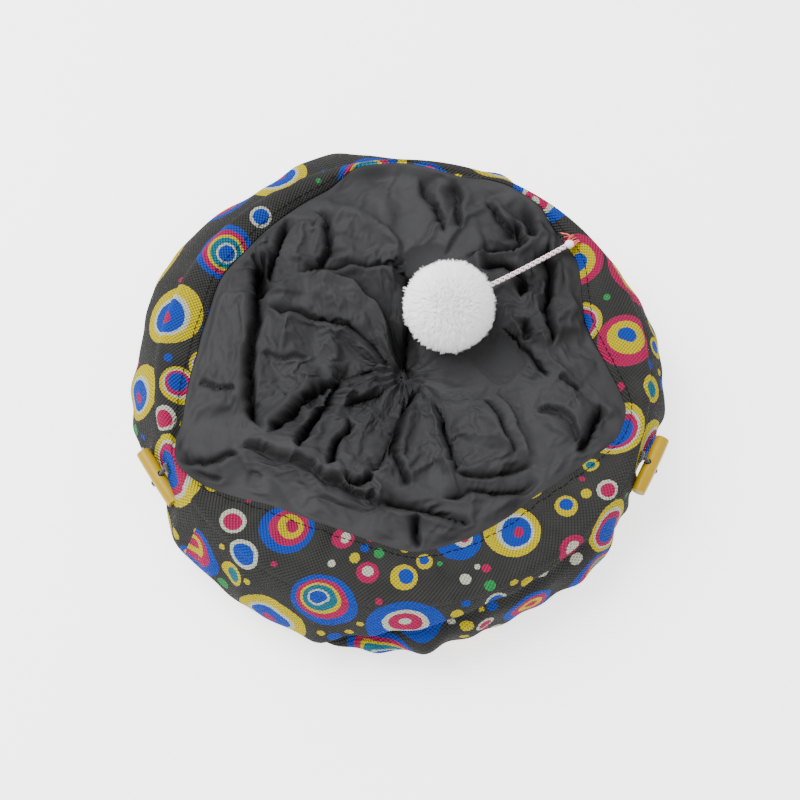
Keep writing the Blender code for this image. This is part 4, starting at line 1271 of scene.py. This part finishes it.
def tube_mesh(name, paths, radii, sides):
    """One mesh of many tubes. paths is (tubes, stations, 3), radii (tubes, stations)."""
    paths = np.asarray(paths)
    count, stations, _ = paths.shape
    radii = np.broadcast_to(radii, (count, stations))
    along = unit(np.gradient(paths, axis=1))
    steep = np.abs(along[:, :, 2].mean(axis=1)) > 0.8
    lean = np.where(steep[:, None], (1.0, 0, 0), (0, 0, 1.0))[:, None, :]
    first = unit(np.cross(lean, along))
    second = np.cross(along, first)
    turn = (np.arange(sides) / sides * 2 * math.pi)[:, None]
    ring = first[:, :, None] * np.cos(turn) + second[:, :, None] * np.sin(turn)
    points = paths[:, :, None] + ring * radii[:, :, None, None]
    index = np.arange(count * stations * sides).reshape(count, stations, sides)
    low, high = index[:, :-1], index[:, 1:]
    walls = np.stack((low, np.roll(low, -1, 2), np.roll(high, -1, 2), high), axis=-1)
    caps = np.concatenate((index[:, 0, ::-1], index[:, -1]))
    mesh = bpy.data.meshes.new(name)
    mesh.from_pydata(points.reshape(-1, 3), [], walls.reshape(-1, 4).tolist() + caps.tolist())
    mesh.shade_smooth()
    return put(name, mesh)


def smooth_line(points, count):
    """A smooth line of this many points through a few chosen ones."""
    chosen = np.array(points, dtype=float)
    ends = np.vstack((2 * chosen[0] - chosen[1], chosen, 2 * chosen[-1] - chosen[-2]))
    place = np.linspace(0, len(chosen) - 1 - 1e-9, count)
    number = place.astype(int)
    t = (place - number)[:, None]
    a, b, c, d = (ends[number + step] for step in range(4))
    return 0.5 * (2 * b + (c - a) * t + (2 * a - 5 * b + 4 * c - d) * t**2
                  + (3 * b - a - 3 * c + d) * t**3)


# %% [markdown]
# The pompom is a ball of short, dense fur. Its strands lean together into small tufts,
# which is what makes its outline soft and slightly ragged.

# %% Pompom
FUR_ROOT, FUR_MIDDLE, FUR_TIP = 0.0150, 0.0205, 0.0240
STRANDS, TUFTS = 13800, 900
TUFT_PULL = 0.50
FUR_RADII = (0.00034, 0.00027, 0.00007)
CORE_DROP = 0.0025  # how far the core lies inside the bend of the hairs
fur_draw = np.random.default_rng(5)


def spread_ways(count, jitter):
    """Even directions over a ball, each moved a little."""
    number = np.arange(count) + 0.5
    up = 1 - 2 * number / count
    turn = number * math.pi * (1 + 5**0.5)
    flat = np.sqrt(1 - up**2)
    ways = np.stack((flat * np.cos(turn), flat * np.sin(turn), up), axis=1)
    ways += fur_draw.normal(0, jitter / math.sqrt(count), ways.shape)
    return unit(ways)


strand_ways = spread_ways(STRANDS, 0.9)
tuft_ways = spread_ways(TUFTS, 0.9)
tuft_length = fur_draw.normal(1.0, 0.022, TUFTS)
tuft = np.argmax(strand_ways @ tuft_ways.T, axis=1)


def lean_to_tuft(pull, scatter):
    leaned = strand_ways * (1 - pull) + tuft_ways[tuft] * pull
    leaned += fur_draw.normal(0, scatter, leaned.shape)
    return unit(leaned)


tip_reach = FUR_TIP * tuft_length[tuft] * fur_draw.uniform(0.955, 1.025, STRANDS)
strand_paths = np.stack((
    strand_ways * FUR_ROOT,
    lean_to_tuft(TUFT_PULL * 0.35, 0.015) * FUR_MIDDLE,
    lean_to_tuft(TUFT_PULL, 0.03) * tip_reach[:, None],
), axis=1) + np.array(POMPOM_MIDDLE)
fur = tube_mesh("pompom_fur", strand_paths, FUR_RADII, 3)
deselect()
bpy.ops.mesh.primitive_ico_sphere_add(subdivisions=4, radius=FUR_MIDDLE - CORE_DROP,
                                      location=POMPOM_MIDDLE)
core = bpy.context.object
core.name = "pompom_core"
bpy.ops.object.transform_apply(location=True)
bpy.ops.object.shade_smooth()
for piece in (fur, core):
    dress(piece, "pompom", FUR_FINISH)
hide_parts("pompom")
print("pompom:", STRANDS, "strands in", TUFTS, "tufts")

# %% [markdown]
# The pompom's cord is a round braid of eight strands. Four run one way round it and four
# the other, each over one and under the next. Two opposite strands are pink, so their
# ticks show in regular rows.

# %% Braided cord
CORD_START = Vector((0.08808, 0.07043, 0.05659))
CORD_END = Vector((0.0446, 0.0432, 0.0606))
CORD_SAG = 0.0012
CORD_INTO_FUR = 0.003
BRAID_PITCH = 0.0066
BRAID_RADIUS, BRAID_WEAVE, STRAND_RADIUS = 0.00092, 0.00014, 0.00037
TICK_RADIUS = STRAND_RADIUS * 1.03
STRANDS_EACH_WAY = 4
BRAID_STEPS = 260


def cord_line(steps):
    share = np.linspace(0, 1, steps)[:, None]
    way = (CORD_END - CORD_START).normalized() * CORD_INTO_FUR
    line = np.array(CORD_START) + (np.array(CORD_END + way) - np.array(CORD_START)) * share
    line[:, 2] -= 4 * CORD_SAG * (share * (1 - share))[:, 0]
    return line


middle_line = cord_line(BRAID_STEPS)
walked = distance_along(middle_line)
forward = unit(np.gradient(middle_line, axis=0))
aside = unit(np.cross((0, 0, 1.0), forward))
upright = np.cross(forward, aside)


def braid_strand(number, way):
    turn = way * 2 * math.pi * walked / BRAID_PITCH + 2 * math.pi * number / STRANDS_EACH_WAY
    turn = turn[:, None]
    reach = BRAID_RADIUS + way * BRAID_WEAVE * np.cos(STRANDS_EACH_WAY * turn)
    return middle_line + reach * (aside * np.cos(turn) + upright * np.sin(turn))


white = [braid_strand(number, -1) for number in range(STRANDS_EACH_WAY)]
white += [braid_strand(number, 1) for number in (1, 3)]
pink = [braid_strand(number, 1) for number in (0, 2)]
braid = tube_mesh("pompom_cord_braid", white, STRAND_RADIUS, 8)
ticks = tube_mesh("pompom_cord_ticks", pink, TICK_RADIUS, 8)
dress(braid, "pompom", BRAID_WHITE)
dress(ticks, "pompom", BRAID_PINK)
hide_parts("pompom_cord")
print("braid:", round(float(walked[-1]) * 1000, 1), "mm long")

# %% Knot and red thread
KNOT_MIDDLE = (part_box("cord_knot")[0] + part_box("cord_knot")[1]) / 2
KNOT_RADIUS = 0.0024
KNOT_SCALE = (1.05, 1.0, 0.88)
THREAD_RADIUS = 0.00022
THREADS_ACROSS, THREADS_LOOSE = 9, 4
THREAD_STATIONS = 8
deselect()
bpy.ops.mesh.primitive_uv_sphere_add(segments=32, ring_count=20, radius=KNOT_RADIUS,
                                     location=KNOT_MIDDLE, scale=KNOT_SCALE)
knot = bpy.context.object
knot.name = "pompom_cord_knot"
bpy.ops.object.transform_apply(location=True, scale=True)
bpy.ops.object.shade_smooth()
dress(knot, "pompom_knot", BRAID_WHITE)
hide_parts("cord_knot")

stitch_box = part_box("anchor_stitch")
stitch_middle = np.array((stitch_box[0] + stitch_box[1]) / 2)
outward = np.array(Vector(stitch_middle[:2].tolist() + [0]).normalized())
sideways = np.array((-outward[1], outward[0], 0))
thread_draw = np.random.default_rng(9)
thread_lines = []
for number in range(THREADS_ACROSS):
    slant = thread_draw.uniform(-0.0012, 0.0012, 3)
    near = stitch_middle + sideways * (0.0026 * (number / 4 - 1)) - outward * 0.0032
    far = near + outward * 0.0052 + sideways * slant[0]
    top = (near + far) / 2 + np.array((0, 0, 0.0009 + abs(slant[1]) * 0.5))
    far = far - np.array((0, 0, 0.0008))
    thread_lines.append(smooth_line((near, top, far), THREAD_STATIONS))
for number in range(THREADS_LOOSE):
    slant = thread_draw.uniform(-0.0016, 0.0016, 3)
    start = stitch_middle + sideways * 0.0022
    middle = start + sideways * 0.0024 - outward * 0.001 + slant * 0.5 + (0, 0, 0.0010)
    end = start + sideways * 0.0050 - outward * 0.0026 + slant
    thread_lines.append(smooth_line((start, middle, end), THREAD_STATIONS))
thread = tube_mesh("anchor_thread", thread_lines, THREAD_RADIUS, 6)
dress(thread, "top", RED_THREAD)
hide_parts("anchor_stitch")
print("knot and", len(thread_lines), "red threads")

# %% [markdown]
# A toggle is a turned plastic bar with a leaning cross hole. Its black cord comes out of
# the hem, dips through the hole and ends in a knot, and the elastic loop from the base
# hem passes round behind it.

# %% Toggles
TOGGLE_LENGTH, TOGGLE_RADIUS = 0.032, 0.0038
TOGGLE_ROUND = 0.0011
TOGGLE_TAPER = 0.08
TOGGLE_RINGS = 17  # cuts across the bar, so that its taper is round
HOLE_RADIUS = 0.0017
HOLE_LEAN_DEG = 30.0
TOGGLE_PLACE = Vector((0.1366, 0, 0.0433))
SIDES = {"right": (-22.0, 6.0), "left": (205.0, -10.0)}
hole_lean = math.radians(HOLE_LEAN_DEG)
hole_way = Vector((math.sin(hole_lean), 0, -math.cos(hole_lean)))


def drill(bar, radius, turn):
    """Cut the cross hole."""
    bpy.ops.mesh.primitive_cylinder_add(vertices=48, radius=radius, depth=4 * TOGGLE_RADIUS)
    cutter = bpy.context.object
    cutter.matrix_world = turn
    cut = bar.modifiers.new("hole", "BOOLEAN")
    cut.object = cutter
    bpy.context.view_layer.objects.active = bar
    bpy.ops.object.modifier_apply(modifier=cut.name)
    bpy.data.objects.remove(cutter)


def make_toggle(side, degrees, tilt_deg):
    deselect()
    bpy.ops.mesh.primitive_cylinder_add(
        vertices=64, radius=TOGGLE_RADIUS, depth=TOGGLE_LENGTH, rotation=(math.pi / 2, 0, 0))
    bar = bpy.context.object
    bar.name = f"toggle_bar_{side}"
    bpy.ops.object.transform_apply(rotation=True)
    bpy.ops.object.mode_set(mode="EDIT")
    bpy.ops.mesh.select_mode(type="EDGE")
    bpy.ops.mesh.select_all(action="SELECT")
    bpy.ops.mesh.bevel(offset=TOGGLE_ROUND, segments=6, affect="EDGES", clamp_overlap=True)
    for cut in np.linspace(-0.8, 0.8, TOGGLE_RINGS):
        bpy.ops.mesh.select_all(action="SELECT")
        bpy.ops.mesh.bisect(plane_co=(0, cut * TOGGLE_LENGTH / 2, 0), plane_no=(0, 1, 0))
    bpy.ops.object.mode_set(mode="OBJECT")
    for vertex in bar.data.vertices:
        taper = 1 - TOGGLE_TAPER * (abs(vertex.co.y) / (TOGGLE_LENGTH / 2)) ** 3
        vertex.co.x *= taper
        vertex.co.z *= taper
    turn = Vector((0, 0, 1)).rotation_difference(hole_way).to_matrix().to_4x4()
    drill(bar, HOLE_RADIUS, turn)
    bpy.ops.object.shade_smooth_by_angle(angle=math.radians(35))
    place = Matrix.Rotation(math.radians(degrees), 4, "Z") @ Matrix.Translation(TOGGLE_PLACE)
    place = place @ Matrix.Rotation(math.radians(tilt_deg), 4, hole_way)
    bar.data.transform(place)
    dress(bar, f"toggle_{side}", PLASTIC_FINISH)
    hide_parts(f"toggle_{side}")


for side, (degrees, tilt_deg) in SIDES.items():
    make_toggle(side, degrees, tilt_deg)
print("toggles:", *SIDES)

# %% Toggle cords and loops
CORD_RADIUS, LOOP_RADIUS = 0.0010, 0.0008
STEM_ROUTE = ((0.1302, 0.0475), (0.1318, 0.0485), (0.1334, 0.0484), (0.1343, 0.0473))
LOOP_ROUTE = ((0.1300, 0.0075), (0.1300, 0.0265), (0.1300, 0.0455), (0.1310, 0.0495))
LOOP_HALF, LOOP_TOP = 0.0024, (0.1312, 0.0509)
STEM_STATIONS, LOOP_STATIONS, COIL_STATIONS = 40, 90, 60
COIL_TURNS, COIL_RADIUS, COIL_RISE = 2, 0.00095, 0.0007
COIL_BELOW = 0.0017  # from the bar's underside to the middle of the knot


def on_rim(points, degrees):
    """(outward, along, up) points, turned to their place on the rim."""
    return points @ np.array(Matrix.Rotation(math.radians(degrees), 3, "Z")).T


for side, (degrees, _) in SIDES.items():
    below = [TOGGLE_PLACE + hole_way * (TOGGLE_RADIUS * step) for step in (-1, 0, 1)]
    stem_points = [(out, 0, up) for out, up in STEM_ROUTE] + [tuple(spot) for spot in below]
    stem_line = on_rim(smooth_line(stem_points, STEM_STATIONS), degrees)
    stem = tube_mesh(f"toggle_cord_{side}", [stem_line], CORD_RADIUS, 16)
    legs = [(out, LOOP_HALF, up) for out, up in LOOP_ROUTE]
    back_legs = [(out, -LOOP_HALF, up) for out, up in reversed(LOOP_ROUTE)]
    loop_points = legs + [(LOOP_TOP[0], 0, LOOP_TOP[1])] + back_legs
    loop_line = on_rim(smooth_line(loop_points, LOOP_STATIONS), degrees)
    loop = tube_mesh(f"elastic_loop_{side}", [loop_line], LOOP_RADIUS, 12)
    end = TOGGLE_PLACE + hole_way * (TOGGLE_RADIUS + COIL_BELOW)
    turns = np.linspace(0, 2 * math.pi * COIL_TURNS, COIL_STATIONS)
    rise = np.linspace(-COIL_RISE, COIL_RISE, COIL_STATIONS)
    coil = np.stack((COIL_RADIUS * np.cos(turns), COIL_RADIUS * np.sin(turns), rise), axis=1)
    coil = on_rim(coil + np.array(end), degrees)
    end_knot = tube_mesh(f"toggle_end_knot_{side}", [coil], CORD_RADIUS * 0.95, 12)
    dress(stem, f"toggle_{side}", CORD_FINISH)
    dress(end_knot, f"toggle_{side}", CORD_FINISH)
    dress(loop, "base", CORD_FINISH)
    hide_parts(f"toggle_stem_{side}")
    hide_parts(f"toggle_knot_{side}")
    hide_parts(f"loop_{side}")
print("cords and loops")

# %% [markdown]
# A row of dark stitches holds the canvas and the lining together, 4 mm from the seam.
# They are placed on the same rolled grid as the canvas.

# %% Stitches on the band
STITCH_IN = 0.0042
STITCH_LENGTH, STITCH_PITCH = 0.0026, 0.0036
STITCH_RADIUS = 0.00026
STITCH_LIFT = 0.00022
STITCH_RISE = np.array((-1.0, 0.9, 0.9, -1.0))  # it dips into the cloth at both ends
STITCH_SHARES = np.array((0, 0.22, 0.78, 1.0))
NARROWEST_BAND = 0.0065


def line_on_canvas(distance):
    """The line on the canvas at this distance from its seam, one point for each column."""
    found = np.empty((grid.shape[1], 3))
    for column in range(grid.shape[1]):
        reach = length[:, column] - length[0, column]
        for axis in range(3):
            found[column, axis] = np.interp(distance, reach, grid[:, column, axis])
    return found


def stitch_row(line, wanted):
    """Short raised threads along a line, where wanted says so for each of its points."""
    walked = distance_along(line)
    starts = np.arange(0, walked[-1] - STITCH_LENGTH, STITCH_PITCH)
    starts = starts[np.interp(starts, walked, wanted) > 0.5]
    steps = starts[:, None] + STITCH_LENGTH * STITCH_SHARES
    paths = np.stack([np.interp(steps, walked, line[:, axis]) for axis in range(3)], axis=-1)
    paths[:, :, 2] += STITCH_LIFT * STITCH_RISE
    return paths


band_width = length[BAND_END] - length[0]
stitch_paths = stitch_row(line_on_canvas(STITCH_IN), band_width > NARROWEST_BAND)
stitches = tube_mesh("band_stitches", stitch_paths, STITCH_RADIUS, 5)
dress(stitches, "top", DARK_THREAD)
print(len(stitch_paths), "stitches")
